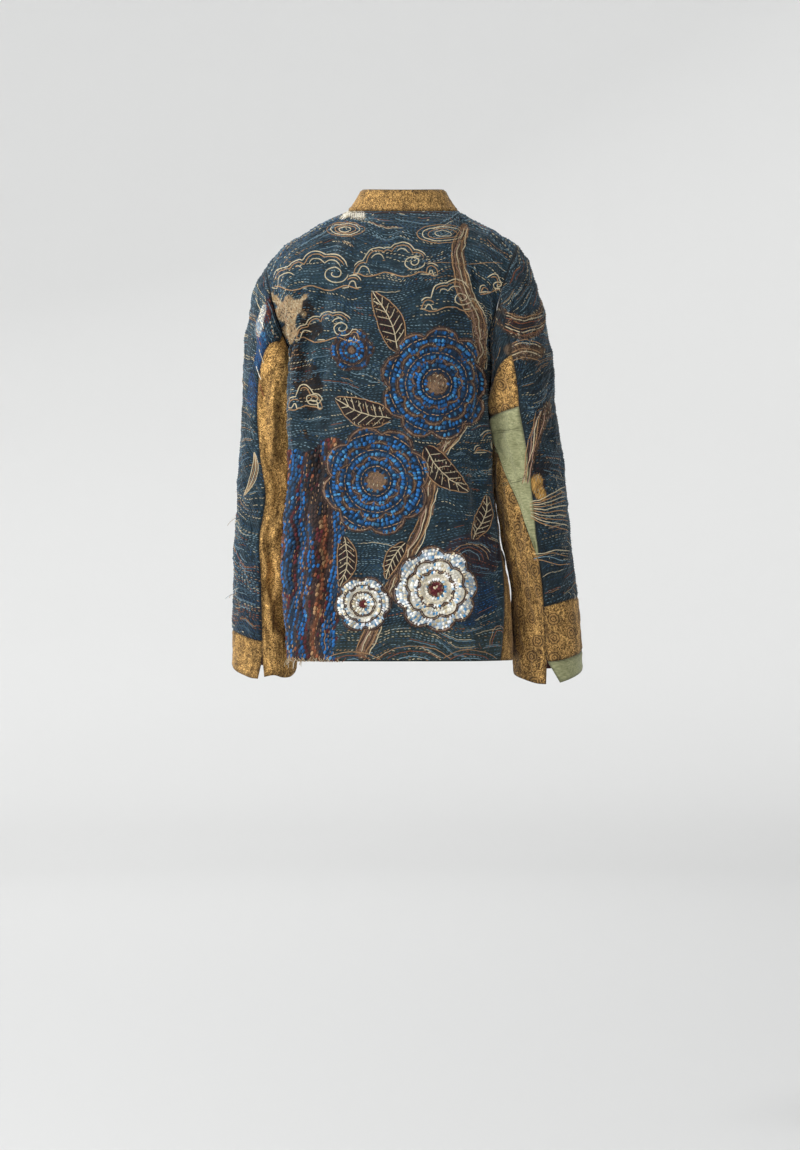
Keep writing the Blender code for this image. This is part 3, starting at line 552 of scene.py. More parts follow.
def face_crosses(grid):
    """The crossed diagonals of a grid's faces: square to each face, and twice its area long."""
    face, flat = quads(*grid.shape[:2]), grid.reshape(-1, 3)
    return face, np.cross(flat[face[:, 2]] - flat[face[:, 0]], flat[face[:, 3]] - flat[face[:, 1]])


def own_normals(grid):
    """The outward direction at each point of a grid."""
    face, across = face_crosses(grid)
    normal = np.zeros((grid.shape[0] * grid.shape[1], 3))
    for corner in range(4):
        np.add.at(normal, face[:, corner], across)
    return unit(normal).reshape(grid.shape)


def trimmed(cloth, normal, gap):
    """The points of a grid with each border drawn in by half a seam's gap, square to the border."""
    moved, whole = cloth.copy(), slice(None)
    for border, next_line in (((0, whole), (1, whole)), ((-1, whole), (-2, whole)),
                              ((whole, 0), (whole, 1)), ((whole, -1), (whole, -2))):
        line = cloth[border]
        inward = unit(np.cross(normal[border], np.gradient(line, axis=0)))
        inward *= np.sign((inward * (cloth[next_line] - line)).sum(axis=1, keepdims=True))
        moved[border] += inward * gap / 2
    return moved


# The photograph's frame, in its own pixels, on the upright plane through the origin
FRAME_WIDTH = 800
FRAME_HEIGHT = 1150
PIXEL = 0.00165
EYE = np.array([0.005, 5.0, -0.6056])
LENS = 94.86


def shapes(columns, text):
    """Rows of text as a list of shapes, each by its columns' names."""
    return rows_of(table(columns, text))


# Every piece: how it's cut, with the lines at the top and foot of a sleeve's, its cloth, its shade, which is
# partly its own tone and partly painted light (painted shade darkens the right sleeve's indigo pieces, its low
# under piece and the godet, and the left under sleeve is painted lighter), how deeply it puckers in
# millimetres, its fine steps down and across for each coarse one, how many of those a step of its inner face
# takes, its set of painted shapes, and the pieces it's sewn to
PIECES = shapes(
    "name cut top foot cloth shade pucker down across inner_down inner_across area sewn_to",
    """
    back back none none indigo 0.92 0 10 7 2 3 back front_left+front_right
    front_left front none none indigo 1 0 6 5 3 3 front back
    front_right front none none indigo 1 0 6 5 3 3 front back
    godet_right godet none none gold 0.86 0 10 8 2 2 none back+front_right
    collar collar none none gold 1 0 8 7 2 2 none back+front_left+front_right
    sleeve_left_upper upper none cuff indigo 0.9 0 12 8 3 2 left back+front_left
    cuff_left upper cuff none gold 1 0 12 8 3 2 none sleeve_left_upper
    sleeve_left_under under none none gold 1.22 4.2 12 8 3 2 none back+front_left
    sleeve_right_upper upper none cuff indigo 0.68 0 12 8 3 2 right back+front_right
    cuff_right upper cuff cuff_hem rosette 1 0 12 8 3 2 none sleeve_right_upper
    cuff_right_hem upper cuff_hem none green 1 0 12 8 3 2 none cuff_right
    sleeve_right_under_top under none gold indigo 0.68 0 12 8 3 2 right back+front_right
    patch_right_gold under gold green rosette 1 1.6 12 8 3 2 none sleeve_right_under_top
    patch_right_green under green low green 1 2.8 12 8 3 2 none patch_right_gold
    sleeve_right_under_low under low none rosette 0.86 2.4 12 8 3 2 none patch_right_green
    """,
)


def outer_face(piece):
    """A piece's outer face, as rows and columns of points."""
    side = LEFT if "_left" in piece["name"] else RIGHT
    if piece["cut"] in ("upper", "under"):
        return sleeve_piece(side, piece["cut"], piece["top"], piece["foot"])
    return front_panel(side) if piece["cut"] == "front" else BODY_PANELS[piece["cut"]]()


BODY_PANELS = {"back": back_panel, "godet": godet, "collar": collar}

rng = np.random.default_rng(11)
GRAINS = 256
LATTICE = rng.uniform(-1, 1, (6, GRAINS, GRAINS))


def noise(a, b, cell, layer=0):
    """Smooth noise from -1 to 1 over two coordinates."""
    x, y = np.asarray(a, float) / cell, np.asarray(b, float) / cell
    i, j = np.floor(x).astype(int), np.floor(y).astype(int)
    s, t = ease(x - i), ease(y - j)
    held = LATTICE[layer]
    low, high = (
        held[i % GRAINS, k % GRAINS] * (1 - s) + held[(i + 1) % GRAINS, k % GRAINS] * s for k in (j, j + 1)
    )
    return low * (1 - t) + high * t


def paint(red, green, blue):
    """A colour from 0 to 255, as it looks, in linear light."""
    value = np.array([red, green, blue]) / 255
    return np.where(value <= 0.04045, value / 12.92, ((value + 0.055) / 1.055) ** 2.4)


def dye(row):
    return paint(row["red"], row["green"], row["blue"])


THREADS = {
    row["name"]: dye(row)
    for row in shapes(
        "name red green blue",
        """
        cream 204 190 158, ivory 246 240 224, grey 120 148 162, slate 68 96 114, pale 150 174 192
        tan 166 130 92, rose 158 126 108, rust 138 82 54, gold 168 134 80, blue 36 74 110
        cobalt 34 98 160, azure 66 128 172, deep 20 38 56, maroon 92 36 40, brown 58 42 38, sage 102 104 76
        """,
    )
}

# Each kind of stitching, with how often it uses each thread. The darkest stripe kind is stitched over a
# painted shade where the cloth folds in on the left of the back.
PALETTES = {
    kind: (used[::2], np.cumsum(np.array(used[1::2], float)))
    for kind, *used in map(
        str.split,
        """ground slate 39 grey 24 cream 7 tan 3 blue 16 rust 1 deep 10
        low slate 30 grey 20 cream 9 tan 11 rust 9 blue 13 deep 8
        dark deep 18 slate 18 tan 14 cream 9 brown 36 maroon 5
        wine maroon 20 blue 20 slate 26 rust 12 tan 6 deep 16
        azure blue 24 cobalt 34 azure 8 slate 20 maroon 4 deep 10
        blue_stripe cobalt 40 blue 26 deep 14 azure 8 maroon 8
        brown_stripe maroon 34 brown 34 rust 12 deep 10 cobalt 8
        fold_stripe brown 50 deep 20 maroon 18 rust 12
        rust_stripe rust 52 tan 22 brown 14 maroon 12
        tan_patch cream 42 tan 32 gold 12 brown 14
        petal cobalt 54 blue 14 azure 24 deep 8
        ivory ivory 60 pale 18 azure 6 cream 16
        leaf brown 66 maroon 14 tan 12 cream 8
        bark tan 40 rose 26 cream 14 brown 20
        heart maroon 70 cream 30
        neck ivory 60 cream 40""".splitlines(),
    )
}
FAT_THREADS = ("petal", "ivory", "heart")
LOW_FROM = 612

# Flowers, cut as layers of scalloped discs, and the fill and threads of each layer
BLOOMS = shapes(
    "x y radius petals turn pale",
    """
    437 384 57 9 0.3 0, 376 481 55 8 1.1 0, 436 589 43 8 0.6 1, 363 604 28 6 0.2 1, 352 350 21 6 0.2 0
    """,
)
BLOOM_LAYERS = (1.0, 0.73, 0.47, 0.2)
SCALLOP = 0.15
COBALT_FILLS = shapes("red green blue kind", "18 42 64 petal, 18 46 72 petal, 18 42 64 petal, 120 96 76 bark")
PALE_FILLS = shapes(
    "red green blue kind", "168 182 196 ivory, 214 210 198 ivory, 214 206 188 ivory, 92 28 34 heart"
)

# Leaves, from stalk to tip
LEAVES = shapes(
    "x_0 y_0 x_1 y_1 half bend",
    """
    398 352 372 291 13 5, 392 418 335 398 14 -5, 425 446 470 492 13 6
    344 536 340 588 10 -5, 406 542 386 580 8 4, 474 540 488 494 8 4
    """,
)

# The tan branch behind them: its points, and its half width at each
BRANCH = table(
    "x y half",
    """
    362 652 7.5, 380 612 6.5, 402 566 6, 424 520 6, 436 462 6, 462 424 7, 483 378 8.5, 482 330 9
    464 290 7, 458 252 6, 466 228 4
    """,
)

# Clouds of puffs, swirls, and nested arcs as of hills
CLOUDS = shapes(
    "x y half_x half_y puffs",
    """
    316 276 46 24 5, 396 264 44 21 6, 450 300 30 18 4, 328 330 34 20 5, 305 400 19 16 3, 489 446 15 13 3
    494 286 14 12 3
    """,
)
SWIRLS = shapes("x y half_x half_y", "443 234 24 8, 345 229 18 6")
HILLS = shapes(
    "x y half_x half_y rings",
    "352 670 34 18 3, 414 672 42 26 4, 470 670 32 20 3, 499 646 9 20 2, 470 560 20 16 3",
)

# Blots: middle, size, how wide and high for that size, and how far the edge wanders
BLOTS = shapes(
    "area x y size wide high wander red green blue kind",
    """
    back 306 372 10 1.4 4.8 1.6 26 24 23 dark
    back 472 556 26 1.15 0.9 1 40 34 42 wine
    back 474 600 24 1 1 1 20 42 62 azure
    left 260 350 7 0.9 2.6 0.6 26 60 100 petal
    left 263 300 6 0.9 3.4 1 66 34 34 wine
    left 257 322 4.5 0.9 3.4 0.5 150 154 158 ivory
    left 252 392 5 0.8 3 1 30 48 74 azure
    right 524 351 9 2 1 1 96 78 60 bark
    right 537 470 8 1.6 3 1 26 34 40 dark
    right 520 446 7 0.8 2.2 1 26 36 84 azure
    """,
)

# Stripes of the lower left, from the side seam in, by where each ends
STRIPES_START = 200.0
STRIPES = shapes(
    "end red green blue kind",
    """
    248 46 32 36 brown_stripe, 262 22 42 62 blue_stripe, 268 92 58 40 rust_stripe, 280 50 34 36 brown_stripe
    291 22 42 62 blue_stripe, 295 50 34 40 brown_stripe, 304 22 42 62 blue_stripe, 308 44 32 36 brown_stripe
    313 22 42 62 blue_stripe, 320 52 34 32 brown_stripe, 326 98 62 42 rust_stripe, 331 50 34 32 brown_stripe
    345 22 44 66 blue_stripe, 352 54 34 34 brown_stripe
    """,
)

# Creases finer than the solids' folds, with the depth in millimetres
CREASES = table(
    "x_0 y_0 x_1 y_1 half depth",
    """
    352 228 300 270 8 -3.3, 372 226 322 318 8 -2.7, 312 300 298 400 7 -6, 328 330 308 452 7 -5.4
    320 310 306 420 6 3.9, 342 310 330 400 8 2.7, 462 232 498 306 8 -3.3, 488 318 478 440 7 -5.4
    495 360 486 490 6 3.6, 503 340 500 440 5 -3.6, 300 440 297 570 6 -6.9, 296 560 292 656 6 -4.5
    318 462 308 655 7 4.5, 334 440 322 620 7 -5.1, 352 500 342 655 8 3.3, 368 560 362 655 8 -3
    474 450 484 655 8 -5.1, 458 500 462 650 9 3.3, 428 540 440 658 9 -3.6, 396 560 388 658 9 -3
    410 580 414 658 8 2.4, 500 480 503 640 6 -3.9, 404 320 398 450 12 -2.7, 376 330 446 350 10 -2.3
    262 372 268 470 5 -4.5, 275 370 272 460 5 3.9, 281 390 282 480 5 -3.9, 262 490 276 560 5 -4.5
    268 500 284 590 5 3.3, 270 560 280 640 5 -3.9, 240 510 266 540 5 -3.9, 236 545 262 562 5 -3
    238 590 262 600 5 -2.7, 250 430 242 500 5 3.3, 249 300 256 380 5 -3.3, 264 262 258 330 5 -2.7
    498 446 514 480 5 -4.8, 508 438 520 470 5 3.6, 504 500 522 560 5 -3.9, 512 560 534 640 5 -3.9
    520 540 540 600 5 3, 520 415 556 446 6 -3.9, 526 466 562 482 6 -3.6, 528 540 568 562 6 -3.9
    530 500 566 515 6 2.7, 510 300 550 292 6 -3.3, 512 372 546 380 6 -3, 486 433.2 526 428.6 1.8 -1.4
    498 486.2 532 476.2 1.8 -1.4, 497 424 515 470 4 -2.2, 508 420 520 448 4 1.6, 508 484 522 530 4 -2.2
    500 250 520 330 6 -3
    """,
)


def mix(low, high, share):
    return low + (high - low) * np.asarray(share)[..., None]


def soft(level, edge=0.9):
    """From 0 outside a shape to 1 inside it, by the distance inside it in pixels."""
    return ease(0.5 + level / (2 * edge))


def smooth_path(path, count):
    """A smooth line through points, as so many points."""
    keys, at = np.arange(len(path)), np.linspace(0, len(path) - 1, count)
    return np.stack([curve(keys, values, at) for values in np.array(path, float).T], axis=1)


def smooth_line(x, y, step=2.0):
    """The same with points about one step apart."""
    return smooth_path(np.stack([x, y], axis=1), int(np.hypot(np.diff(x), np.diff(y)).sum() / step) + 2)


def near_line(px, py, line):
    """How far each point is from a line of points, and the share of the line's length at the nearest."""
    off = np.hypot(px[..., None] - line[:, 0], py[..., None] - line[:, 1])
    return off.min(axis=-1), off.argmin(axis=-1) / (len(line) - 1)


def bloom_edge(bloom, layer, angle):
    """A flower layer's radius in a direction."""
    turn = angle * bloom["petals"] / 2 + bloom["turn"] + layer * np.pi / 2
    return bloom["radius"] * BLOOM_LAYERS[layer] * (1 - SCALLOP * (1 - np.abs(np.cos(turn)) ** 0.7))


def trim_width(bloom):
    return 0.04 * bloom["radius"] + 0.5


def bloom_level(bloom, layer, px, py):
    x, y = px - bloom["x"], py - bloom["y"]
    return bloom_edge(bloom, layer, np.arctan2(y, x)) - np.hypot(x, y)


def leaf_axis(leaf):
    """A leaf's direction from stalk to tip, and its length."""
    along = np.array([leaf["x_1"] - leaf["x_0"], leaf["y_1"] - leaf["y_0"]])
    return *(along / np.hypot(*along)), np.hypot(*along)


def leaf_half(leaf, t):
    return leaf["half"] * np.sin(np.pi * t**0.8) ** 0.75


def leaf_point(leaf, t, off):
    """A point of the picture from the share of a leaf's length and the pixels off its curved middle line."""
    along_x, along_y, long = leaf_axis(leaf)
    off = off + leaf["bend"] * np.sin(np.pi * t)
    return leaf["x_0"] + along_x * t * long - along_y * off, leaf["y_0"] + along_y * t * long + along_x * off


def leaf_level(leaf, px, py):
    along_x, along_y, long = leaf_axis(leaf)
    x, y = px - leaf["x_0"], py - leaf["y_0"]
    t = (x * along_x + y * along_y) / long
    held = np.clip(t, 0, 1)
    off = y * along_x - x * along_y - leaf["bend"] * np.sin(np.pi * held)
    return np.where((t > 0) & (t < 1), leaf_half(leaf, held) - np.abs(off), -np.inf)


BRANCH_LINE = smooth_line(BRANCH["x"], BRANCH["y"], 5.0)


def branch_half(share):
    """The branch's half width at a share of its length."""
    keys = np.arange(len(BRANCH["half"]))
    return np.interp(share * keys[-1], keys, BRANCH["half"])


def stripe_shift(px, py):
    """How far the stripes lean and wander to one side."""
    return 0.085 * (py - 550) + 3.0 * np.sin(py / 19) + 3.5 * noise(px, py, 14, 4)


# Each of the next functions gives an area's coloured shapes, lowest first, as how many pixels inside it
# each point is, its colour and its kind of stitching.
def blots(area, px, py, wander):
    found = []
    for blot in BLOTS:
        if blot["area"] == area:
            off = np.hypot((px - blot["x"]) / blot["wide"], (py - blot["y"]) / blot["high"])
            found.append((blot["size"] - off + blot["wander"] * wander, dye(blot), blot["kind"]))
    return found


def bloom_regions(bloom, px, py):
    """Layers, each ringed by a trim band, and a dark line round them all."""
    found = [(bloom_level(bloom, 0, px, py) + 1, paint(38, 28, 27), "leaf")]
    for layer, fill in enumerate(PALE_FILLS if bloom["pale"] else COBALT_FILLS):
        level = bloom_level(bloom, layer, px, py)
        trim = paint(126, 100, 76) if layer % 2 else paint(140, 112, 92)
        found += [(level, trim, "bark"), (level - trim_width(bloom), dye(fill), fill["kind"])]
    return found


def back_regions(px, py):
    wander, ragged = 5 * noise(px, py, 22, 1) + 2 * noise(px, py, 8, 2), 3 * noise(px, py, 9, 3)
    patch = [px - 270, 303 - px - (py - 300) * 0.22, py - 297, 345 - py - (px - 285) * 0.5]
    streak = [px - 338, 366 - px, py - 211, 219 - py]
    found = [
        (py - 628 + wander, paint(42, 54, 54), "low"),
        *blots("back", px, py, wander),
        (np.min(patch, axis=0) + 2.2 * ragged, paint(170, 146, 112), "tan_patch"),
        (np.min(streak, axis=0) + 0.4 * ragged, paint(120, 116, 104), "neck"),
    ]
    wave, start = px + stripe_shift(px, py), STRIPES_START
    top = 452 - 14 * ease((px - 296) / 40)
    within = np.minimum(344 - px - 0.085 * (py - 550), py - top) + ragged
    for stripe in STRIPES:
        level = np.min([within, wave - start, stripe["end"] - wave], axis=0)
        found.append((level, dye(stripe), stripe["kind"]))
        start = stripe["end"]
    # Painted shade: a near black patch where the cloth folds in on the left of the back, within the stripes,
    # stitched in dark threads
    fold_shade = 12 - np.hypot((px - 316) / 1.25, (py - 484) / 3.4) + wander * 0.6
    off, share = near_line(px, py, BRANCH_LINE)
    found += [
        (np.minimum(fold_shade, within), paint(24, 19, 20), "fold_stripe"),
        (branch_half(share) - off + ragged * 0.6, paint(112, 86, 66), "bark"),
        *((leaf_level(leaf, px, py), paint(36, 28, 28), "leaf") for leaf in LEAVES),
    ]
    return found + [region for bloom in BLOOMS for region in bloom_regions(bloom, px, py)]


def left_regions(px, py):
    """Small lights near the seam, and a bluer foot."""
    wander = 3 * noise(px, py, 14, 1)
    return [(py - 560 + wander * 2, paint(30, 46, 58), "low"), *blots("left", px, py, wander)]


def right_regions(px, py):
    """Curved bands at the shoulder, a bark streak, a cobalt fleck and an applied gold leaf."""
    wander = 3 * noise(px, py, 12, 1)
    band = py + 0.018 * (px - 524) ** 2 - 2 * noise(px, py, 20, 2)
    off, share = near_line(px, py, smooth_line([548, 541, 534, 528, 524], [408, 428, 450, 474, 492]))
    along, aside = (px - 536) * 0.5 + (py - 486) * 0.87, (px - 536) * 0.87 - (py - 486) * 0.5
    lobes = 8 + 2.2 * np.cos(3 * np.arctan2(aside, along)) - np.hypot(along / 1.6, aside)
    return [
        (np.minimum(band - 316, 338 - band), paint(70, 58, 48), "bark"),
        (np.minimum(band - 322, 333 - band), paint(32, 42, 48), "dark"),
        *blots("right", px, py, wander),
        (6.0 - 3 * share - off + wander * 0.5, paint(84, 66, 52), "bark"),
        (lobes + 1.0, paint(66, 46, 30), "bark"),
        (lobes, paint(206, 158, 84), "tan_patch"),
    ]


REGIONS = {"back": back_regions, "left": left_regions, "right": right_regions, "front": lambda px, py: []}


def tint(area, px, py):
    """The cloth's colour at points of the picture, over a ground that's mottled as worn indigo is."""
    shade = 0.5 + 0.32 * noise(px, py, 30, 0) + 0.24 * noise(px, py, 9, 1)
    colour = mix(paint(17, 31, 38), paint(34, 57, 67), shade)
    for level, fill, _ in REGIONS[area](px, py):
        colour = mix(colour, fill, soft(level))
    speckle = 1 + 0.13 * noise(px, py, 2.6, 2) + 0.10 * noise(px, py, 6.5, 3)
    return np.clip(colour * speckle[..., None], 0, 1)


def thread_of(kind, pick):
    """A colour for each stitch of one kind of stitching, from a random number from 0 to 1."""
    names, total = PALETTES[kind]
    chosen = np.searchsorted(total / total[-1], pick)
    return np.array([THREADS[name] for name in names])[np.minimum(chosen, len(names) - 1)]


def thread_colours(area, px, py, pick):
    """The thread of each stitch, and the kind of stitching it lies in."""
    colour, kind = thread_of("ground", pick), np.full(len(pick), "ground", "U16")
    for level, _, over in [(py - LOW_FROM, None, "low"), *REGIONS[area](px, py)]:
        colour[level > 0], kind[level > 0] = thread_of(over, pick)[level > 0], over
    return colour, kind


# Cloth: how rough quilted and plain cloth are, how far in from the edges creases and puckers fade out,
# how the cloth rises beside a seam and dips into it, and the factor of the painted shade at the very edge,
# which darkens the colour along every seam and hem
QUILTED_ROUGH = 0.0019
PLAIN_ROUGH = 0.0008
CREASE_FADE = 0.012
PUCKER_FADE = 0.008
SEAM_RISE = 0.0005
SEAM_DIP = 0.0010
SEAM_SHADE = 0.42
LEAST_LIFT, MOST_LIFT = -0.0016, 0.0038


def finer(grid, factor, axis):
    """The grid with each step along one axis cut into smaller ones, on smooth curves through its points."""
    grid = np.moveaxis(grid, axis, 0)
    step = np.diff(grid, axis=0)
    long = np.maximum(np.linalg.norm(step, axis=2, keepdims=True), 1e-9)
    way = step / long
    inner = (way[:-1] * long[1:] + way[1:] * long[:-1]) / (long[1:] + long[:-1])
    slope = np.concatenate([way[:1], inner, way[-1:]])
    at = np.arange((len(grid) - 1) * factor + 1) / factor
    i = np.minimum(at.astype(int), len(grid) - 2)
    t = (at - i)[:, None, None]
    start, end = slope[i] * long[i] - step[i], slope[i + 1] * long[i] - step[i]
    fine = grid[i] + step[i] * t + t * (1 - t) * (start * (1 - t) - end * t)
    return np.moveaxis(fine, 0, axis)


def picture(place):
    """Where points show in the photograph's frame, in its pixels."""
    grow = EYE[1] / (EYE[1] - place[..., 1])
    px = FRAME_WIDTH / 2 - (place[..., 0] - EYE[0]) * grow / PIXEL
    py = FRAME_HEIGHT / 2 - (place[..., 2] - EYE[2]) * grow / PIXEL
    return px, py


def running(steps, axis=1):
    """The running total of steps along an axis, from 0."""
    return np.insert(np.cumsum(steps, axis=axis), 0, 0, axis=axis)


def pattern_place(place, normal):
    """The same for the painted shapes, which go on round the sides no narrower than the cloth is."""
    px, py = picture(place)
    middle = int(np.clip(normal[..., 1].mean(axis=0).argmax(), 5, px.shape[1] - 6))
    way = np.sign((px[:, middle + 5] - px[:, middle - 5]).mean())
    arc = np.linalg.norm(np.diff(place, axis=1), axis=2) / PIXEL
    reach = running(np.maximum(np.diff(px, axis=1) * way, 0.6 * arc) * way)
    return np.stack([px[:, middle : middle + 1] + reach - reach[:, middle : middle + 1], py], axis=2)


def creased(px, py):
    """How far the creases push the cloth out, at points of the picture."""
    lift = np.zeros(px.shape)
    for x_0, y_0, x_1, y_1, half, depth in zip(*CREASES.values(), strict=True):
        t, off = beside(px, py, x_0, y_0, x_1, y_1, False)
        lift += depth / 1000 * np.exp(-((off / half) ** 2)) * ease(4 * t) * ease(4 * (1 - t))
    return lift


def fine_cloth(piece):
    """A piece of cloth as a fine grid: its smooth face, and its places, directions and lengths."""
    smooth = finer(finer(outer_face(piece), int(piece["down"]), 0), int(piece["across"]), 1)
    normal = own_normals(smooth)
    smooth = trimmed(smooth, normal, SEAM_GAP)
    wide, high = (running(np.linalg.norm(np.diff(smooth, axis=a), axis=2), a) for a in (1, 0))
    edge = np.min([wide, wide[:, -1:] - wide, high, high[-1:] - high], axis=0)
    behind = ease((normal[..., 1] + 0.1) / 0.4)
    bent = smooth + normal * (creased(*picture(smooth)) * behind * ease(edge / CREASE_FADE))[..., None]
    bent_normal = own_normals(bent)

    rough = QUILTED_ROUGH if piece["area"] in REGIONS else PLAIN_ROUGH
    u, v = wide - wide[:, -1:] / 2, high
    if piece["area"] not in REGIONS and piece["name"] != "collar":
        # Round the body or arm, and down, so that slanting rows don't skew the print
        u = running(np.linalg.norm(np.diff(smooth[..., :2], axis=1), axis=2))
        u, v = u - u[:, -1:] / 2, -smooth[..., 2]
    lift = rough * (noise(u, v, 0.024, 0) + 0.6 * noise(u, v, 0.010, 1) + 0.4 * noise(u, v, 0.0052, 2))
    if piece["pucker"]:
        drift = u + 0.010 * noise(u, v, 0.05, 3)
        long = noise(drift, v * 0.3, 0.0125, 4) * (0.7 + 0.5 * noise(u, v, 0.04, 5))
        lift += piece["pucker"] / 1000 * (long + 0.5 * noise(drift * 1.9, v * 0.45, 0.0125, 5))
    lift *= ease(edge / PUCKER_FADE)
    lift += SEAM_RISE * np.exp(-(((edge - 0.0055) / 0.0025) ** 2)) - SEAM_DIP * np.exp(-((edge / 0.0022) ** 2))
    place = bent + bent_normal * np.clip(lift, LEAST_LIFT, MOST_LIFT)[..., None]
    under = bent - bent_normal * (COLLAR_WALL if piece["name"] == "collar" else WALL)
    lengths_of = {"wide": wide, "high": high, "edge": edge, "flat": points(u, v, 0)}
    faces = {"smooth": smooth, "place": place, "normal": own_normals(place), "under": under}
    return {**piece, **faces, **lengths_of, "bent_normal": bent_normal, "spot": pattern_place(smooth, normal)}


def mesh_object(name, places, faces):
    """A mesh from its points and its faces, which are arrays of corner numbers of any widths."""
    mesh = bpy.data.meshes.new(name)
    mesh.vertices.add(len(places))
    mesh.vertices.foreach_set("co", np.asarray(places, np.float32).ravel())
    counts = np.concatenate([np.full(len(f), f.shape[1]) for f in faces])
    corners = np.concatenate([f.ravel() for f in faces])
    mesh.loops.add(len(corners))
    mesh.loops.foreach_set("vertex_index", corners.astype(np.int32))
    mesh.polygons.add(len(counts))
    mesh.polygons.foreach_set("loop_start", (np.cumsum(counts) - counts).astype(np.int32))
    mesh.polygons.foreach_set("loop_total", counts.astype(np.int32))
    mesh.polygons.foreach_set("use_smooth", np.ones(len(counts), bool))
    mesh.update(calc_edges=True)
    made = bpy.data.objects.new(name, mesh)
    bpy.context.scene.collection.objects.link(made)
    return made


def give_attribute(made, name, kind, field, values):
    attribute = made.data.attributes.new(name, kind, "POINT")
    attribute.data.foreach_set(field, np.ascontiguousarray(values, np.float32).ravel())


def give_colour(made, colour):
    give_attribute(made, "tint", "FLOAT_COLOR", "color", np.insert(colour, 3, 1, axis=1))


def cloth_object(cloth):
    """The closed shell of a piece: its fine outer face, a plainer inner one and the rim between them."""
    place, down, across = cloth["place"], int(cloth["inner_down"]), int(cloth["inner_across"])
    under = cloth["under"][::down, ::across]
    number = np.arange(place[..., 0].size).reshape(place.shape[:2])
    inner = np.arange(under[..., 0].size).reshape(under.shape[:2]) + number.size
    face, inner_face, rims = quads(*number.shape), quads(*inner.shape)[:, ::-1] + number.size, []
    for outer_line, inner_line, step in (
        (number[0], inner[0], across),
        (number[:, -1], inner[:, -1], down),
        (number[-1, ::-1], inner[-1, ::-1], across),
        (number[::-1, 0], inner[::-1, 0], down),
    ):
        stretch = np.stack([outer_line[k : k + step + 1] for k in range(0, len(outer_line) - 1, step)])
        rims.append(np.column_stack([stretch[:, ::-1], inner_line[:-1], inner_line[1:]]))

    def both(outside, inside):
        return np.concatenate([outside.reshape(-1, 3), inside.reshape(-1, 3)])

    made = mesh_object("cloth_" + cloth["name"], both(place, under), [face, inner_face, *rims])
    flat = both(cloth["flat"], cloth["flat"][::down, ::across])
    give_attribute(made, "cloth", "FLOAT_VECTOR", "vector", flat)
    # Painted shade: the colour darkens over the last 5 mm to every edge of the piece, down to SEAM_SHADE at the
    # edge, and is scaled by the piece's shade, which is partly painted light
    shade = (SEAM_SHADE + (1 - SEAM_SHADE) * ease(cloth["edge"] / 0.005))[..., None] * cloth["shade"]
    painted = cloth["area"] in REGIONS
    colour = shade * (tint(cloth["area"], *np.moveaxis(cloth["spot"], 2, 0)) if painted else np.ones(3))
    # The inner points get a grey of 0.6 as painted shade for the inside; the reverse material doesn't read it, so
    # only the rims show it
    give_colour(made, both(colour, np.full(under.shape, 0.6)))
    index = np.repeat([0, 1, 0], [len(face), len(inner_face), sum(len(rim) for rim in rims)])
    made.data.polygons.foreach_set("material_index", index.astype(np.int32))
    made.data.set_sharp_from_angle(angle=1.0)
    return made


# Threads: the distance of points along a row of stitches, the height of a running stitch, the pitch and
# the length, width and height of topstitching, the longest step of a laid thread, how far the feet of
# stitches and threads sink in, the lightest thread, and how near in pixels a spot of the back is
TREAD = 0.001
RUNNING_HEIGHT = 0.0010
TOP_PITCH = 0.0042
TOP_STITCH = (0.0030, 0.0009, 0.0006)
LONGEST_STEP = 0.012
STITCH_SUNK = 0.0003
HUMP_SUNK = 0.0001
TUBE_SUNK = 0.0002
LIGHTEST = 0.95
NEAR_SPOT = 2.5

# A stitch's corners, as shares of its length, width and height and how far they sink in, and its faces.
# A hump is pointed, and a bolster is rounded with blunt ends.
STITCH_ENDS = ((-0.5, 0, 0, STITCH_SUNK), (0.5, 0, 0, STITCH_SUNK))
HUMP = (
    (*STITCH_ENDS, (0, -0.5, 0, HUMP_SUNK), (0, 0.5, 0, HUMP_SUNK), (0, 0, 1, 0)),
    [((0, 2, 4), (2, 1, 4), (1, 3, 4), (3, 0, 4))],
)
BOLSTER_MIDDLES = (
    ((at, -0.5, 0, STITCH_SUNK), (at, 0, 1, 0), (at, 0.5, 0, STITCH_SUNK)) for at in (-0.27, 0.27)
)
BOLSTER = (
    sum(BOLSTER_MIDDLES, STITCH_ENDS),
    [((0, 2, 3), (0, 3, 4), (5, 1, 6), (6, 1, 7)), ((2, 5, 6, 3), (3, 6, 7, 4))],
)


def tangent_frame(cloth, row, column):
    """The place, outward direction, and the directions across and up the cloth at any row and column."""
    place, normal = between(cloth["place"], row, column), unit(between(cloth["normal"], row, column))
    across = between(cloth["smooth"], row, np.minimum(column + 0.5, cloth["place"].shape[1] - 1))
    across = unit(across - between(cloth["smooth"], row, np.maximum(column - 0.5, 0)))
    across = unit(across - normal * (across * normal).sum(axis=1, keepdims=True))
    return place, normal, across, np.cross(normal, across)


def turned(across, up, turn):
    return across * np.cos(turn)[:, None] + up * np.sin(turn)[:, None]


def one_of(names):
    """A thread's colour, drawn from some names."""
    names = names.split()
    return THREADS[names[int(rng.integers(0, len(names)))]]


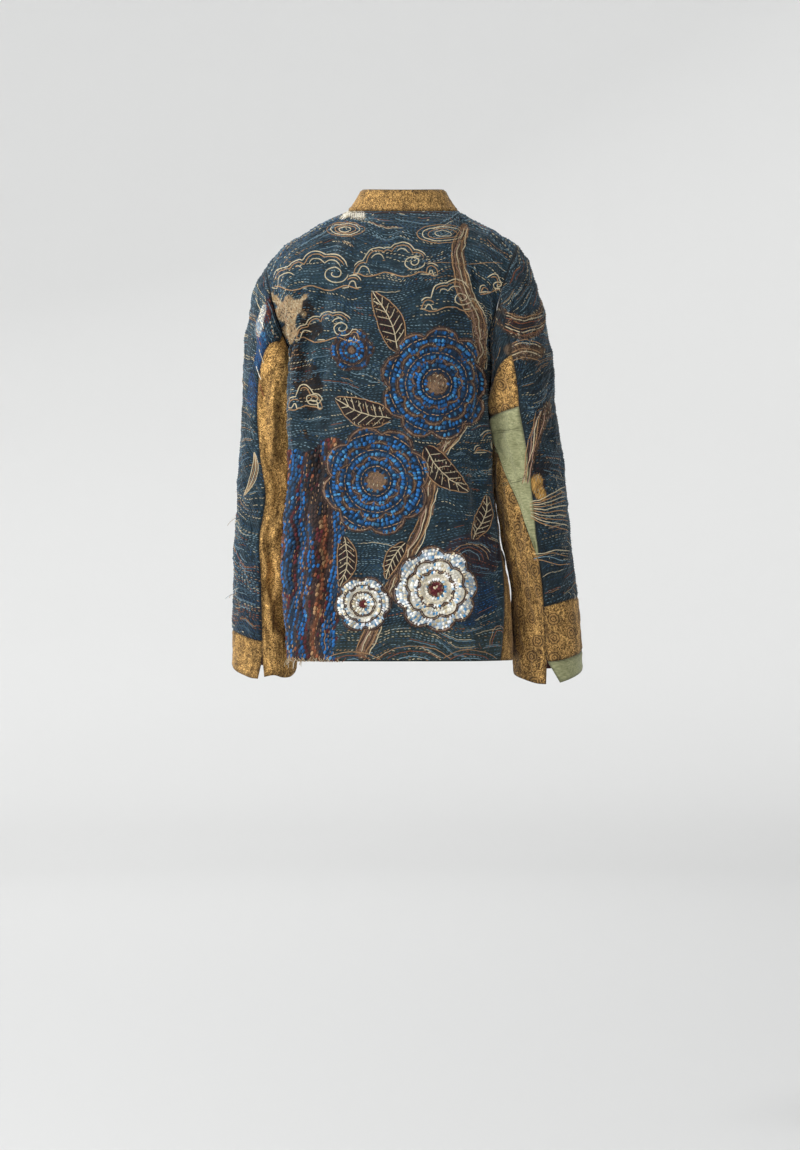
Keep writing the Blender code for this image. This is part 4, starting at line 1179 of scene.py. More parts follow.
def flow_rows(cloth, spacing):
    """Rows that wander over a piece, as rows and columns of its grid and slopes at points along them."""
    rows, columns = cloth["place"].shape[:2]
    middle = cloth["high"][:, columns // 2]
    found = []
    for k in range(-6, int(middle[-1] / spacing) + 7):
        base = np.clip(k * spacing, 0, middle[-1])
        wide = cloth["wide"][int(np.interp(base, middle, np.arange(rows)))]
        at = np.arange(0.002, wide[-1] - 0.002, TREAD)
        u, v = at - wide[-1] / 2, k * spacing + 0 * at
        high = k * spacing + (0.024 * noise(u, v, 0.085, 4) + 0.006 * noise(u, v, 0.026, 5))
        row = np.interp(high, middle, np.arange(rows), left=-1, right=-1)
        found.append((row, np.interp(at, wide, np.arange(columns)), np.gradient(high, TREAD)))
    return found


def inside_grid(cloth, row, column):
    rows, columns = cloth["place"].shape[:2]
    return (row > 1) & (row < rows - 2) & (column > 1) & (column < columns - 2)


def sewn(batches, shape):
    """Points, faces and colours of many stitches of one shape."""
    place, normal, way, length, width, height, colour = (np.concatenate(p) for p in zip(*batches, strict=True))
    side, (corners, faces) = np.cross(normal, way), shape
    places = []
    for along, aside, up, sunk in corners:
        flat = place + way * (along * length)[:, None] + side * (aside * width)[:, None]
        places.append(flat + normal * (up * height - sunk)[:, None])
    base = len(corners) * np.arange(len(place))[:, None]
    faces = [np.concatenate([base + face for face in group]) for group in faces]
    return np.stack(places, axis=1).reshape(-1, 3), faces, np.repeat(colour, len(corners), axis=0)


def thread_object(name, made):
    places, faces, colour = made
    thread = mesh_object(name, places, faces)
    give_colour(thread, np.minimum(colour, LIGHTEST))
    thread.data.materials.append(MATERIALS["thread"])
    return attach(thread, "root")


def ground_stitches(cloth, spacing, pitch):
    """Running stitches all over a quilted piece, in the threads of the shapes they lie in."""
    found = []
    for row, column, slope in flow_rows(cloth, spacing):
        count = int(TREAD * len(row) / pitch)
        at = (np.arange(count) + rng.uniform(0.1, 0.9)) * pitch + rng.normal(0, 0.1 * pitch, count)
        at = np.clip((at / TREAD).astype(int), 0, len(row) - 1)
        # A needleful of one thread makes a run of stitches
        run = (at / rng.uniform(50, 130)).astype(int)
        pick = rng.uniform(0, 1, 40)[run]
        pick = np.where(rng.uniform(0, 1, count) < 0.15, rng.uniform(0, 1, count), pick)
        found.append(np.stack([row[at], column[at], slope[at], pick]))
    found = np.concatenate(found, axis=1)
    row, column, slope, pick = found[:, inside_grid(cloth, *found[:2])]
    place, normal, across, up = tangent_frame(cloth, row, column)
    colour, kind = thread_colours(cloth["area"], *between(cloth["spot"], row, column).T, pick)
    # The piece's shade, partly painted light, scales its threads too
    colour = colour * rng.uniform(0.62, 1.12, (len(pick), 1)) * cloth["shade"]
    turn = np.arctan(slope) + 0.45 * noise(place[:, 0], place[:, 2], 0.022, 3) + rng.normal(0, 0.12, len(pick))
    turn = np.where(np.isin(kind, ("bark", "leaf", "tan_patch")), rng.uniform(0.6, 2.5, len(pick)), turn)
    turn = np.where(kind == "neck", np.pi / 2, turn)
    laid = np.isin(kind, FAT_THREADS) | np.char.endswith(kind, "stripe")
    keep = ~(laid & (cloth["name"] == "back"))
    count = int(keep.sum())
    length, width = rng.uniform(0.68, 0.86, count) * pitch, rng.uniform(0.0012, 0.0018, count)
    sewing = (place[keep], normal[keep], turned(across, up, turn)[keep])
    return *sewing, length, width, np.full(count, RUNNING_HEIGHT), colour[keep]


def contour_threads(cloth, spacing, share):
    """Laid threads in pairs that flow with the rows of stitches and break off where a shape begins."""
    lines = []
    row_length = cloth["high"][-1, cloth["place"].shape[1] // 2] / (cloth["place"].shape[0] - 1)
    for row, column, _ in flow_rows(cloth, spacing):
        end = 0
        while end < len(row):
            start = end + int(rng.uniform(4, 60) / share)
            end = start + int(rng.uniform(18, 70))
            at = np.arange(start, min(end, len(row)), 2)
            for twin in range(1 + int(rng.uniform() < 0.6)):
                part = at[2 * twin : len(at) - 3 * twin]
                wiggle = 0.0009 * noise(part, part * 0 + start, 4.5, 2) + 0.0024 * twin
                here, along = row[part] + wiggle / row_length, column[part]
                if len(part) < 7 or not inside_grid(cloth, here, along).all():
                    continue
                px, py = between(cloth["spot"], here, along).T
                _, kind = thread_colours(cloth["area"], px, py, 0 * px)
                plain = np.isin(kind, ("ground", "low", "dark", "wine", "azure")).all()
                if plain and not in_cloud(px, py).any():
                    colour = one_of("cream tan grey slate rust grey slate grey")
                    # The piece's shade, partly painted light, scales these threads too
                    colour = colour * rng.uniform(0.7, 1.0) * cloth["shade"]
                    place, normal, _, _ = tangent_frame(cloth, here, along)
                    lines.append((place, normal, rng.uniform(0.0005, 0.0007), colour))
    return lines


def surface_tree():
    """The outer faces of every piece, at half their fineness, to cast points of the picture on."""
    places, faces, start = [], [], 0
    for cloth in cloths.values():
        grid = cloth["place"][::2, ::2]
        places += grid.reshape(-1, 3).tolist()
        faces += (quads(*grid.shape[:2]) + start).tolist()
        start = len(places)
    return BVHTree.FromPolygons(places, faces)


def spot_tree(cloth):
    """The shapes' coordinates of every point of a piece's grid, to look them up by."""
    spots = cloth["spot"].reshape(-1, 2).tolist()
    tree = kdtree.KDTree(len(spots))
    for number, (x, y) in enumerate(spots):
        tree.insert((x, y, 0), number)
    tree.balance()
    return tree


def on_back(x, y):
    """Points of the back's shapes: places, directions out, right and down, and which points it has."""
    cloth, at = cloths["back"], np.stack([x, y], axis=1)
    spot = cloth["spot"]
    index, far = np.array([BACK_SPOTS.find((a, b, 0))[1:] for a, b in at.tolist()]).T
    row, column = np.divmod(index.astype(int), spot.shape[1])
    row, column = np.clip(row, 1, spot.shape[0] - 2), np.clip(column, 1, spot.shape[1] - 2)
    a, b = (spot[row + 1, column] - spot[row - 1, column]).T / 2
    c, d = (spot[row, column + 1] - spot[row, column - 1]).T / 2
    off_x, off_y = (at - spot[row, column]).T
    row = row + np.clip((off_x * d - off_y * c) / (a * d - b * c), -1, 1)
    column = column + np.clip((off_y * a - off_x * b) / (a * d - b * c), -1, 1)
    place, normal, across, up = tangent_frame(cloth, row, column)
    met = (far < NEAR_SPOT) & inside_grid(cloth, row, column)
    return place, normal, across * np.sign(c)[:, None], up * -np.sign(up[:, 2:]), met


def cast(px, py):
    """The places and outward directions where points of the picture meet the cloth, and which do."""
    eye = Vector(EYE)
    place, normal, met = np.zeros((len(px), 3)), np.zeros((len(px), 3)), np.zeros(len(px), bool)
    x, z = EYE[0] - (px - FRAME_WIDTH / 2) * PIXEL, EYE[2] - (py - FRAME_HEIGHT / 2) * PIXEL
    for number, target in enumerate(points(x, 0, z).tolist()):
        where, facing, _, _ = TREE.ray_cast(eye, (Vector(target) - eye).normalized())
        if where is not None:
            place[number], met[number] = where, True
            normal[number] = facing if facing.y > 0 else -facing
    return place, normal, met


def swept(rings, colours, links):
    """Points, faces and colours of threads, from rings of points along each and the faces between two."""
    faces, tints, start = [], [], 0
    for ring, colour in zip(rings, colours, strict=True):
        base = start + ring.shape[1] * np.arange(len(ring) - 1)[:, None]
        faces += [base + link for link in links]
        tints.append(np.broadcast_to(colour, (ring[..., 0].size, 3)))
        start += ring[..., 0].size
    places = np.concatenate([ring.reshape(-1, 3) for ring in rings])
    return places, [np.concatenate(faces)], np.concatenate(tints)


def tubes(lines):
    """Threads laid on the cloth, three sides each, open below."""
    rings = []
    for place, normal, radius, _ in lines:
        side = unit(np.cross(normal, unit(np.gradient(place, axis=0))))
        radius = np.full((len(place), 1), radius)
        radius[[0, -1]] *= 0.4
        foot, top, side = place - normal * TUBE_SUNK, place + normal * radius, side * radius
        rings.append(np.stack([foot - side, top - side * 0.5, top + side * 0.5, foot + side], axis=1))
    return swept(rings, [line[3] for line in lines], [(k, k + 4, k + 5, k + 1) for k in range(3)])


def strands(lines):
    """Loose threads, with three sides each and closed ends."""
    rings, ends, count = [], [], 0
    turns = np.arange(3)[:, None] * 2 * np.pi / 3
    for place, radius, _ in lines:
        way = unit(np.gradient(place, axis=0))
        side = unit(np.cross(way, (0.31, 0.52, 0.8)))
        up = np.cross(way, side)
        rings.append(place[:, None] + radius * (np.cos(turns) * side[:, None] + np.sin(turns) * up[:, None]))
        first, count = count, count + 3 * len(place)
        ends += [(first + 2, first + 1, first), (count - 3, count - 2, count - 1)]
    links = [(k, (k + 1) % 3, (k + 1) % 3 + 3, k + 3) for k in range(3)]
    places, faces, colours = swept(rings, [line[2] for line in lines], links)
    return places, [*faces, np.array(ends)], colours


def laid_line(x, y, radius, colour, back):
    """A thread laid along a line of the back's shapes, or of the picture, split where the cloth ends."""
    place, normal, *_, met = on_back(x, y) if back else cast(x, y)
    step = np.linalg.norm(np.diff(place, axis=0), axis=1)
    cut = np.flatnonzero(~met[1:] | ~met[:-1] | (step > LONGEST_STEP)) + 1
    parts = np.split(np.arange(len(x)), cut)
    return [(place[p], normal[p], radius, colour) for p in parts if met[p].all() and len(p) > 2]


def cloud_lines(cloud):
    """A cloud: the top of a row of puffs and the same again inside it, a wavy foot, and a curl at one end."""
    count, half_x, half_y = int(cloud["puffs"]), cloud["half_x"], cloud["half_y"]
    seat = np.linspace(-1, 1, count)[:, None]
    radius = half_x * 1.5 / count * (1 + 0.3 * np.sin(2.3 * np.arange(count)[:, None] + cloud["x"]))
    middle_x, middle_y = seat * (half_x - radius), half_y * (0.35 - 0.8 * (1 - seat**2))
    x = np.arange(-half_x, half_x, 1.6)
    lines = []
    for inset in (0, 2.6, 6.4):
        reach = np.maximum(radius - inset, 0.5)
        puff = middle_y - np.sqrt(np.maximum(reach**2 - (x - middle_x) ** 2, 0))
        lines.append((x, np.where(np.abs(x - middle_x) < reach, puff, half_y * 0.5).min(axis=0)))
    lines.append((x * 0.95, half_y * 0.5 + 2.2 * np.sin(x / 6 + cloud["y"])))
    curl = np.linspace(0, 3.2 * np.pi, 36)
    reach = 0.42 * half_y * (1 - curl / curl[-1] * 0.85)
    lines.append((0.4 * half_x + reach * 1.3 * np.cos(curl), reach * np.sin(curl) - 0.1 * half_y))
    return [(cloud["x"] + x, cloud["y"] + y) for x, y in lines]


def oval(shape, share, start):
    """The line round a shape's middle, at a share of its half sizes, from an angle to a whole turn."""
    turn = np.linspace(start, 2 * np.pi, 44)
    x, y = shape["half_x"] * share * np.cos(turn), shape["half_y"] * share * np.sin(turn)
    return shape["x"] + x, shape["y"] + y


def leaf_lines(leaf):
    """A leaf's middle line, its two edges, and the veins of each half."""
    t, s = np.linspace(0.02, 0.98, 30), np.linspace(0, 1, 8)
    half = leaf_half(leaf, t)
    lines = [(*leaf_point(leaf, t, 0 * t), "cream", 0.0009)]
    for side in (-1, 1):
        lines.append((*leaf_point(leaf, t, side * half), "tan", 0.0009))
        for start in np.arange(0.14, 0.86, 0.12):
            tip = side * s * 0.85 * np.interp(start + 0.12, t, half)
            lines.append((*leaf_point(leaf, start + 0.12 * s, tip), "cream", 0.0007))
    return lines


def bloom_lines(bloom):
    """The outline of each layer and of its trim band, but for the heart's."""
    lines = []
    for layer, share in enumerate(BLOOM_LAYERS):
        turn = np.linspace(0, 2 * np.pi, int(bloom["radius"] * share * 2.6) + 16)
        for inset in (0, trim_width(bloom))[: 2 if layer < 3 else 1]:
            reach = bloom_edge(bloom, layer, turn) - inset
            x, y = bloom["x"] + reach * np.cos(turn), bloom["y"] + reach * np.sin(turn)
            lines.append((x, y, "brown", 0.0009))
    return lines


def branch_lines():
    """Wavering threads along the branch, broken where flowers and leaves lie over it."""
    x, y = BRANCH_LINE.T
    side = np.stack([-np.gradient(y), np.gradient(x)], axis=1)
    side *= (branch_half(np.linspace(0, 1, len(x))) / np.hypot(*side.T))[:, None]
    lines = []
    for number, thread in enumerate("tan brown rose cream brown tan cream".split()):
        off = number / 3 - 1 + 0.3 * noise(x + 40 * number, y, 11, 4)
        edge = smooth_line(*(BRANCH_LINE + side * off[:, None]).T)
        edge = edge[~in_front_of_branch(*edge.T)]
        for part in np.split(edge, np.flatnonzero(np.hypot(*np.diff(edge, axis=0).T) > 5) + 1):
            if len(part) > 3:
                lines.append((*part.T, thread, 0.0009))
    return lines


def by_turns(names, radius, lines):
    """Lines with a thread for each, by turns."""
    names = names.split()
    return [(x, y, names[number % len(names)], radius) for number, (x, y) in enumerate(lines)]


def counted(names, radius, count, line):
    """The same for so many lines that follow from their numbers."""
    return by_turns(names, radius, map(line, range(count)))


def back_lines():
    """The laid threads of the back, in picture pixels: outlines, veins, clouds, hills and bands."""
    lines = []
    for cloud in CLOUDS:
        lines += by_turns("cream tan", 0.0010, cloud_lines(cloud))
    for swirl in SWIRLS:
        lines += by_turns("cream tan", 0.0008, [oval(swirl, share, 0) for share in (0.35, 0.6, 0.85, 1.1)])
    for hill in HILLS:
        shares = 1 - 0.2 * np.arange(hill["rings"])
        lines += by_turns("tan rust grey", 0.0007, [oval(hill, share, np.pi) for share in shares])
    lines += [line for leaf in LEAVES for line in leaf_lines(leaf)]
    lines += [line for bloom in BLOOMS for line in bloom_lines(bloom)]
    lines += branch_lines()
    lines += counted("ivory", 0.0009, 15, lambda n: (np.full(6, 340 + 1.7 * n), np.linspace(211.5, 217.5, 6)))
    x = np.arange(350, 453, 2.0)
    lines.append((x, 212.8 + 0 * x, "brown", 0.0013))
    x = np.arange(425, 506, 2.0)
    lines.append((x, 263 + 0.6 * np.sin(x / 9), "tan", 0.0006))
    lines.append((324.5 + 0.6 * np.sin(np.arange(28)), np.linspace(606, 661, 28), "tan", 0.0007))
    return lines


def sleeve_lines():
    """The laid threads of the sleeves: bands at the shoulder, streaks, waves, and lines along two seams."""
    seams = ((492, 432.6, 521, 429.2), (502, 485.0, 528, 477.4))

    def beside_seam(n):
        x_0, y_0, x_1, y_1 = seams[n // 2]
        return np.linspace(x_0, x_1, 16), np.linspace(y_0, y_1, 16) + (1.1 if n % 2 else -1.1)

    a, b, c = np.arange(505, 548, 1.8), np.arange(512, 541, 1.8), np.arange(534, 571, 1.8)
    s, t, w = np.linspace(0, 1, 30), np.linspace(0, 1, 14), np.linspace(-1, 1, 24)
    arch, bow = 0.018 * (a - 524) ** 2 - noise(a, a * 0, 9, 2), 0.02 * (b - 526) ** 2
    return [
        *counted("tan cream rust brown", 0.0008, 8, lambda n: (a, 317 + 2.9 * n - arch)),
        *counted("tan cream brown", 0.0008, 7, lambda n: (b, 340 + 2.9 * n + bow)),
        *counted(
            "tan brown rose cream",
            0.0008,
            7,
            lambda n: (541 - 17 * s**0.9 + (n - 3) * 1.7 * (1 - 0.5 * s) + 1.2 * np.sin(9 * s + n), 410 + 74 * s),
        ),
        *counted(
            "cream tan",
            0.0009,
            10,
            lambda n: (530 + 38 * s, 509 + (4.6 * n - 20) * (0.35 + 0.75 * s) + 1.5 * np.sin(5 * s)),
        ),
        *counted("cream tan grey tan", 0.0008, 4, lambda n: (c, 552 + 3.5 * n + 2.2 * np.sin(c / 7 + n))),
        *counted("sage", 0.0005, 4, beside_seam),
        *counted("cream tan", 0.0008, 5, lambda n: (249 + (2 + 1.6 * n) * (1 - w**2) - 5 * w, 474 + 22 * w)),
        *counted("cream ivory rust", 0.0008, 6, lambda n: (256 + 5 * t + n % 2 * 3, 298 + 17 * n + 14 * t)),
    ]


def embroidery_lines():
    """The laid threads of the back and sleeves, shaken a little as a hand does."""
    lines = []
    for back, drawn in ((True, back_lines()), (False, sleeve_lines())):
        for x, y, thread, radius in drawn:
            shaken = x + 0.6 * noise(x, y, 5, 2), y + 0.6 * noise(x, y, 5, 3)
            lines += laid_line(*shaken, radius, THREADS[thread] * rng.uniform(0.82, 1.05), back)
    return lines


def in_cloud(x, y):
    levels = [np.hypot((x - one["x"]) / one["half_x"], (y - one["y"]) / one["half_y"]) for one in CLOUDS]
    return np.min(levels, axis=0) < 1.1


def in_front_of_branch(x, y):
    levels = [*(bloom_level(bloom, 0, x, y) for bloom in BLOOMS), *(leaf_level(leaf, x, y) for leaf in LEAVES)]
    return np.max(levels, axis=0) > -1


def loose_end(root, lean, spread, names, shortest, longest, radius):
    """A thread that leaves the cloth about one way, then curls and hangs."""
    way, colour = unit(lean + rng.normal(0, spread, 3)), one_of(names)
    length, s = rng.uniform(shortest, longest), np.linspace(0, 1, 9)[:, None]
    wander, shiver = rng.normal(0, 0.25, 3), rng.normal(0, 0.06, 3)
    path = way * s * (1 - 0.45 * s) + np.array([0, 0, -0.55]) * s**2
    path = path + wander * s * s * (1 - 0.4 * s) + shiver * np.sin(5 * s)
    return root - way * 0.001 + path * length, radius, colour


def overcast(j):
    """A stitch over the back's hem at one column."""
    place, normal, under, turn = (cloths["back"][name] for name in ("place", "normal", "under", "bent_normal"))
    shift = min(max(j + int(rng.integers(-2, 3)), 1), place.shape[1] - 2)
    top, way = int(rng.integers(2, 4)), (j + shift) // 2
    path = [
        place[top, shift] + normal[top, shift] * 0.0002,
        place[1, way] + normal[1, j] * 0.0012,
        (place[0, j] + under[0, j]) / 2 - (0, 0, 0.0012),
        under[1, way] - turn[1, j] * 0.0011,
        under[top, shift] - turn[top, shift] * 0.0002,
    ]
    return smooth_path(path, 9), 0.00055, one_of("cream tan tan rust cream") * rng.uniform(0.8, 1.05)


# Where, in the picture, ends stick out of the sleeves' edges, how far apart, how many and how long
FRAYED = table(
    "x y spread count long",
    "238 516 4 5 0.014, 236 592 6 7 0.016, 569 541 5 4 0.010, 571 588 8 5 0.013, 562 470 5 3 0.008",
)


def frays():
    """Overcast stitches and loose ends at the hem's left corner, and ends at the sleeves' edges and on cloth."""
    hem = cloths["back"]
    px, _ = picture(hem["place"][0])
    left = np.flatnonzero((px > 287) & (px < 346))
    lines = [overcast(int(column)) for column in np.arange(left.min(), left.max(), 0.75)]
    for _ in range(14):
        j = int(rng.choice(left[px[left] < 312]))
        lean = hem["normal"][0, j] * 0.5 + (0.3, 0, -0.4)
        lines.append(loose_end(hem["place"][1, j], lean, 0.5, "cream tan ivory", 0.008, 0.020, 0.0004))
    for x, y, spread, count, long in zip(*FRAYED.values(), strict=True):
        shift_x, shift_y = rng.uniform(-3, 3, int(count)), rng.uniform(-spread, spread, int(count))
        place, normal, met = cast(x + shift_x, y + shift_y)
        lean = normal * 0.3 + (1.0 if x < FRAME_WIDTH / 2 else -1.0, 0.2, 0.1)
        for k in np.flatnonzero(met):
            names = "cream grey tan ivory"
            lines.append(loose_end(place[k], lean[k], 0.3, names, 0.6 * long, 1.2 * long, 0.0004))
    for name, count in (("back", 120), ("sleeve_left_upper", 110), ("sleeve_right_upper", 110)):
        place, normal = cloths[name]["place"], cloths[name]["normal"]
        rows, columns = (rng.integers(3, size - 3, count) for size in place.shape[:2])
        for at in zip(rows, columns, strict=True):
            lines.append(loose_end(place[at], normal[at], 0.7, "grey cream slate tan", 0.003, 0.007, 0.0003))
    return lines


def topstitching(name, side, inset, thread):
    """A row of small stitches along the head or foot of a piece, a little way in from its seam."""
    cloth = cloths[name]
    high = cloth["high"][:, cloth["high"].shape[1] // 2]
    row = np.argmin(np.abs(high - (inset if side == "head" else high[-1] - inset)))
    wide = cloth["wide"][row]
    at = np.arange(0.004, wide[-1] - 0.004, TOP_PITCH)
    row, column = np.full(len(at), float(row)), np.interp(at, wide, np.arange(len(wide)))
    keep = inside_grid(cloth, row, column)
    place, normal, across, _ = tangent_frame(cloth, row[keep], column[keep])
    colour = THREADS[thread] * rng.uniform(0.8, 1.05, (len(place), 1))
    return place, normal, across, *(np.full(len(place), size) for size in TOP_STITCH), colour


def bloom_stitches(bloom):
    """Fat stitches that fill a flower's layers in rings, with a thin tan ring after every three."""
    found = []
    wide, step = (2.5, 3.7) if bloom["pale"] else (3.0, 4.1)
    for number, ring in enumerate(np.arange(0.6 * step, bloom["radius"], step)):
        thin = number % 4 == 3
        count = max(int(2 * np.pi * ring / (wide * 1.5 if thin else wide)), 5)
        turn = 2 * np.pi * (np.arange(count) + 0.5 * (number % 2)) / count + rng.normal(0, 0.02, count)
        reach = ring + rng.normal(0, 0.25, count)
        x, y = bloom["x"] + reach * np.cos(turn), bloom["y"] + reach * np.sin(turn)
        found.append(np.stack([x, y, turn, np.full(count, thin)]))
    x, y, turn, thin = np.concatenate(found, axis=1)
    thin = thin > 0
    colour, kind = thread_colours("back", x, y, rng.uniform(0, 1, len(x)))
    inked = np.isin(kind, FAT_THREADS)
    colour = np.where((thin & inked)[:, None], THREADS["cream" if bloom["pale"] else "tan"], colour)
    colour = colour * rng.uniform(0.62 if bloom["pale"] else 0.4, 1.5, (len(x), 1))
    place, normal, right, down, met = on_back(x, y)
    keep = met & inked & (bloom_level(bloom, 0, x, y) > 1.5)
    way = turned(right, down, np.where(thin, turn + np.pi / 2, turn + 0.3))
    length = step * PIXEL * 1.04 * rng.uniform(0.85, 1.08, len(x))
    width, height = np.where(thin, 0.0016, wide * PIXEL * 0.96), np.where(thin, 0.0010, 0.0019)
    return [part[keep] for part in (place, normal, way, length, width, height, colour)]


def stripe_stitches():
    """Fat upright stitches in columns that fill the stripes, with short thin ones between the columns."""
    found = []
    for number, start in enumerate(np.arange(215, 354, 1.95)):
        thin = number % 2
        y = np.arange(438, 660, 4.9 if thin else 4.5) + rng.uniform(0, 4.5)
        y = y + rng.normal(0, 0.35, len(y))
        pick = np.where(rng.uniform(0, 1, len(y)) < 0.35, rng.uniform(0, 1, len(y)), rng.uniform(0, 0.7))
        x = start - stripe_shift(start + 0 * y, y) + rng.normal(0, 0.2, len(y))
        found.append(np.stack([x, y, 0 * y + thin, pick]))
    x, y, thin, pick = np.concatenate(found, axis=1)
    thin = thin > 0
    colour, kind = thread_colours("back", x, y, pick)
    between_columns = np.array([THREADS[name] for name in "tan rust brown tan maroon rose".split()])
    colour = np.where(thin[:, None], between_columns[(pick * 5.99).astype(int)], colour)
    colour = colour * rng.uniform(0.4, 1.3, (len(x), 1))
    place, normal, right, down, met = on_back(x, y)
    keep = met & np.char.endswith(kind, "stripe") & (~thin | (rng.uniform(0, 1, len(x)) < 0.62))
    way = turned(right, down, np.pi / 2 + np.where(thin, 0.1, 0.42) + rng.normal(0, 0.08, len(x)))
    length = np.where(thin, 0.0056, 0.0086) * rng.uniform(0.9, 1.06, len(x))
    width, height = np.where(thin, 0.0016, 0.0046), np.where(thin, 0.0017, 0.0019)
    return [part[keep] for part in (place, normal, way, length, width, height, colour)]


# Materials
def rgba(colour):
    """A colour or a grey, as the numbers that Blender wants."""
    return (*(float(c) for c in np.broadcast_to(colour, 3)), 1.0)


def node(tree, kind, inputs, **settings):
    """A shader node with its settings, and its inputs as values or as other nodes' outputs."""
    made = tree.nodes.new("ShaderNode" + kind)
    for key, value in settings.items():
        setattr(made, key, value)
    for key, value in inputs.items():
        if isinstance(value, bpy.types.NodeSocket):
            tree.links.new(value, made.inputs[key])
        else:
            made.inputs[key].default_value = value
    return made


def painted(tree):
    return node(tree, "Attribute", {}, attribute_name="tint").outputs["Color"]


def along_cloth(tree):
    return node(tree, "Attribute", {}, attribute_name="cloth").outputs["Vector"]


def in_space(tree):
    return node(tree, "TexCoord", {}).outputs["Object"]


def stretched(tree, vector, *scale):
    return node(tree, "Mapping", {"Vector": vector, "Scale": scale}).outputs["Vector"]


def grain(tree, vector, scale, detail, roughness=0.5, distortion=0.0, output="Fac"):
    look = {"Vector": vector, "Scale": scale, "Detail": detail, "Roughness": roughness, "Distortion": distortion}
    return node(tree, "TexNoise", look).outputs[output]


def maths(tree, way, *values):
    return node(tree, "Math", dict(enumerate(values)), operation=way).outputs["Value"]


def blend(tree, share, low, high, way="MIX"):
    return node(tree, "Mix", {0: share, 6: low, 7: high}, data_type="RGBA", blend_type=way).outputs[2]


def times(tree, colour, *factors):
    for factor in factors:
        colour = blend(tree, 1.0, colour, factor, "MULTIPLY")
    return colour


def ramp(tree, share, *stops):
    """A colour for each share, from pairs of a share and a colour or grey."""
    made = node(tree, "ValToRGB", {"Fac": share})
    elements = made.color_ramp.elements
    while len(elements) < len(stops):
        elements.new(0.5)
    for element, (place, colour) in zip(elements, stops, strict=True):
        element.position, element.color = place, rgba(colour)
    return made.outputs["Color"]


def material(name, roughness, sheen, looks):
    """A material. Its looks are a function of its tree that gives its colour, and if it has a relief also
    the height, strength and distance of that."""
    made = bpy.data.materials.new(name)
    made.use_nodes = True
    tree = made.node_tree
    shader = tree.nodes["Principled BSDF"]
    shader.inputs["Roughness"].default_value = roughness
    shader.inputs["Sheen Weight"].default_value = sheen
    shader.inputs["Sheen Roughness"].default_value = 0.5
    shader.inputs["Specular IOR Level"].default_value = 0.25
    colour, *relief = looks(tree)
    tree.links.new(colour, shader.inputs["Base Color"])
    if relief:
        bump = node(tree, "Bump", dict(zip(("Height", "Strength", "Distance"), relief, strict=True)))
        tree.links.new(bump.outputs["Normal"], shader.inputs["Normal"])
    return made


def quilted(tree):
    """Dark hand stitched cotton: the painted tint with a fine weave, dimpled along rows of stitches."""
    flat = along_cloth(tree)
    weave, wear = grain(tree, flat, 700.0, 2.0), grain(tree, flat, 60.0, 4.0, 0.7)
    look = {"Vector": flat, "Scale": 44.0, "Distortion": 3.0, "Detail": 2.0, "Detail Scale": 2.0}
    rows = node(tree, "TexWave", look, bands_direction="Y").outputs["Fac"]
    fine, worn = ramp(tree, weave, (0.3, 0.6), (0.7, 1.3)), ramp(tree, wear, (0.3, 0.7), (0.7, 1.3))
    return times(tree, painted(tree), fine, worn), maths(tree, "ADD", rows, weave), 0.7, 0.0011


ROSETTE_RING = 0.125
ROSETTE_RADIUS = 0.33


def printed(tree, fineness, rosettes):
    """Gold printed cotton, mottled with dark marks, with or without printed rosettes."""
    flat = along_cloth(tree)
    marks = grain(tree, stretched(tree, flat, 1.0, 0.8, 1.0), fineness, 3.0, 0.6, 1.2)
    dark, middle, light = paint(56, 36, 16), paint(148, 112, 60), paint(206, 164, 98)
    stops = ((0.36, light), (0.445, middle), (0.475, dark), (0.515, dark), (0.545, middle), (0.64, light))
    colour = ramp(tree, marks, *stops)
    if rosettes:
        wobble = grain(tree, flat, 230.0, 2.0, output="Color")
        shifted = {0: wobble, 1: (0.0065, 0.0065, 0.0), 2: flat}
        shifted = node(tree, "VectorMath", shifted, operation="MULTIPLY_ADD").outputs["Vector"]
        cell = {"Vector": shifted, "Scale": 27.0, "Randomness": 0.4}
        cell = node(tree, "TexVoronoi", cell, voronoi_dimensions="2D").outputs["Distance"]
        ring = maths(tree, "COSINE", maths(tree, "MULTIPLY", cell, 2 * math.pi / ROSETTE_RING))
        ring = maths(tree, "GREATER_THAN", ring, -0.1)
        within = maths(tree, "MULTIPLY", maths(tree, "LESS_THAN", cell, ROSETTE_RADIUS), 0.85)
        rosette = blend(tree, ring, rgba(paint(158, 122, 70)), rgba(paint(72, 51, 27)))
        colour = blend(tree, within, colour, rosette)
    wear = grain(tree, stretched(tree, flat, 1.0, 0.22, 1.0), 95.0, 3.0, 0.6)
    worn = ramp(tree, wear, (0.34, 0.56), (0.5, 1.06), (0.66, 1.36))
    relief = maths(tree, "ADD", marks, grain(tree, flat, 900.0, 2.0))
    return times(tree, colour, worn, painted(tree)), relief, 0.5, 0.0008


def woven(tree):
    """Pale green woven cotton with slubs across it."""
    place = in_space(tree)
    slubs, patches = grain(tree, stretched(tree, place, 0.2, 1.0, 1.0), 420.0, 3.0), grain(tree, place, 40.0, 3.0)
    colour = ramp(tree, slubs, (0.3, paint(118, 120, 86)), (0.7, paint(160, 160, 122)))
    worn = ramp(tree, patches, (0.3, (0.86, 0.86, 0.8)), (0.7, 1.1))
    return times(tree, colour, worn, painted(tree)), slubs, 0.35, 0.0005


def reverse(tree):
    """The plain reverse of the cloth, a worn maroon."""
    place = in_space(tree)
    weave, wear = grain(tree, place, 700.0, 2.0), grain(tree, place, 40.0, 3.0)
    colour = ramp(tree, weave, (0.3, paint(52, 30, 32)), (0.7, paint(84, 54, 52)))
    return times(tree, colour, ramp(tree, wear, (0.3, 0.75), (0.7, 1.2))), weave, 0.3, 0.0004


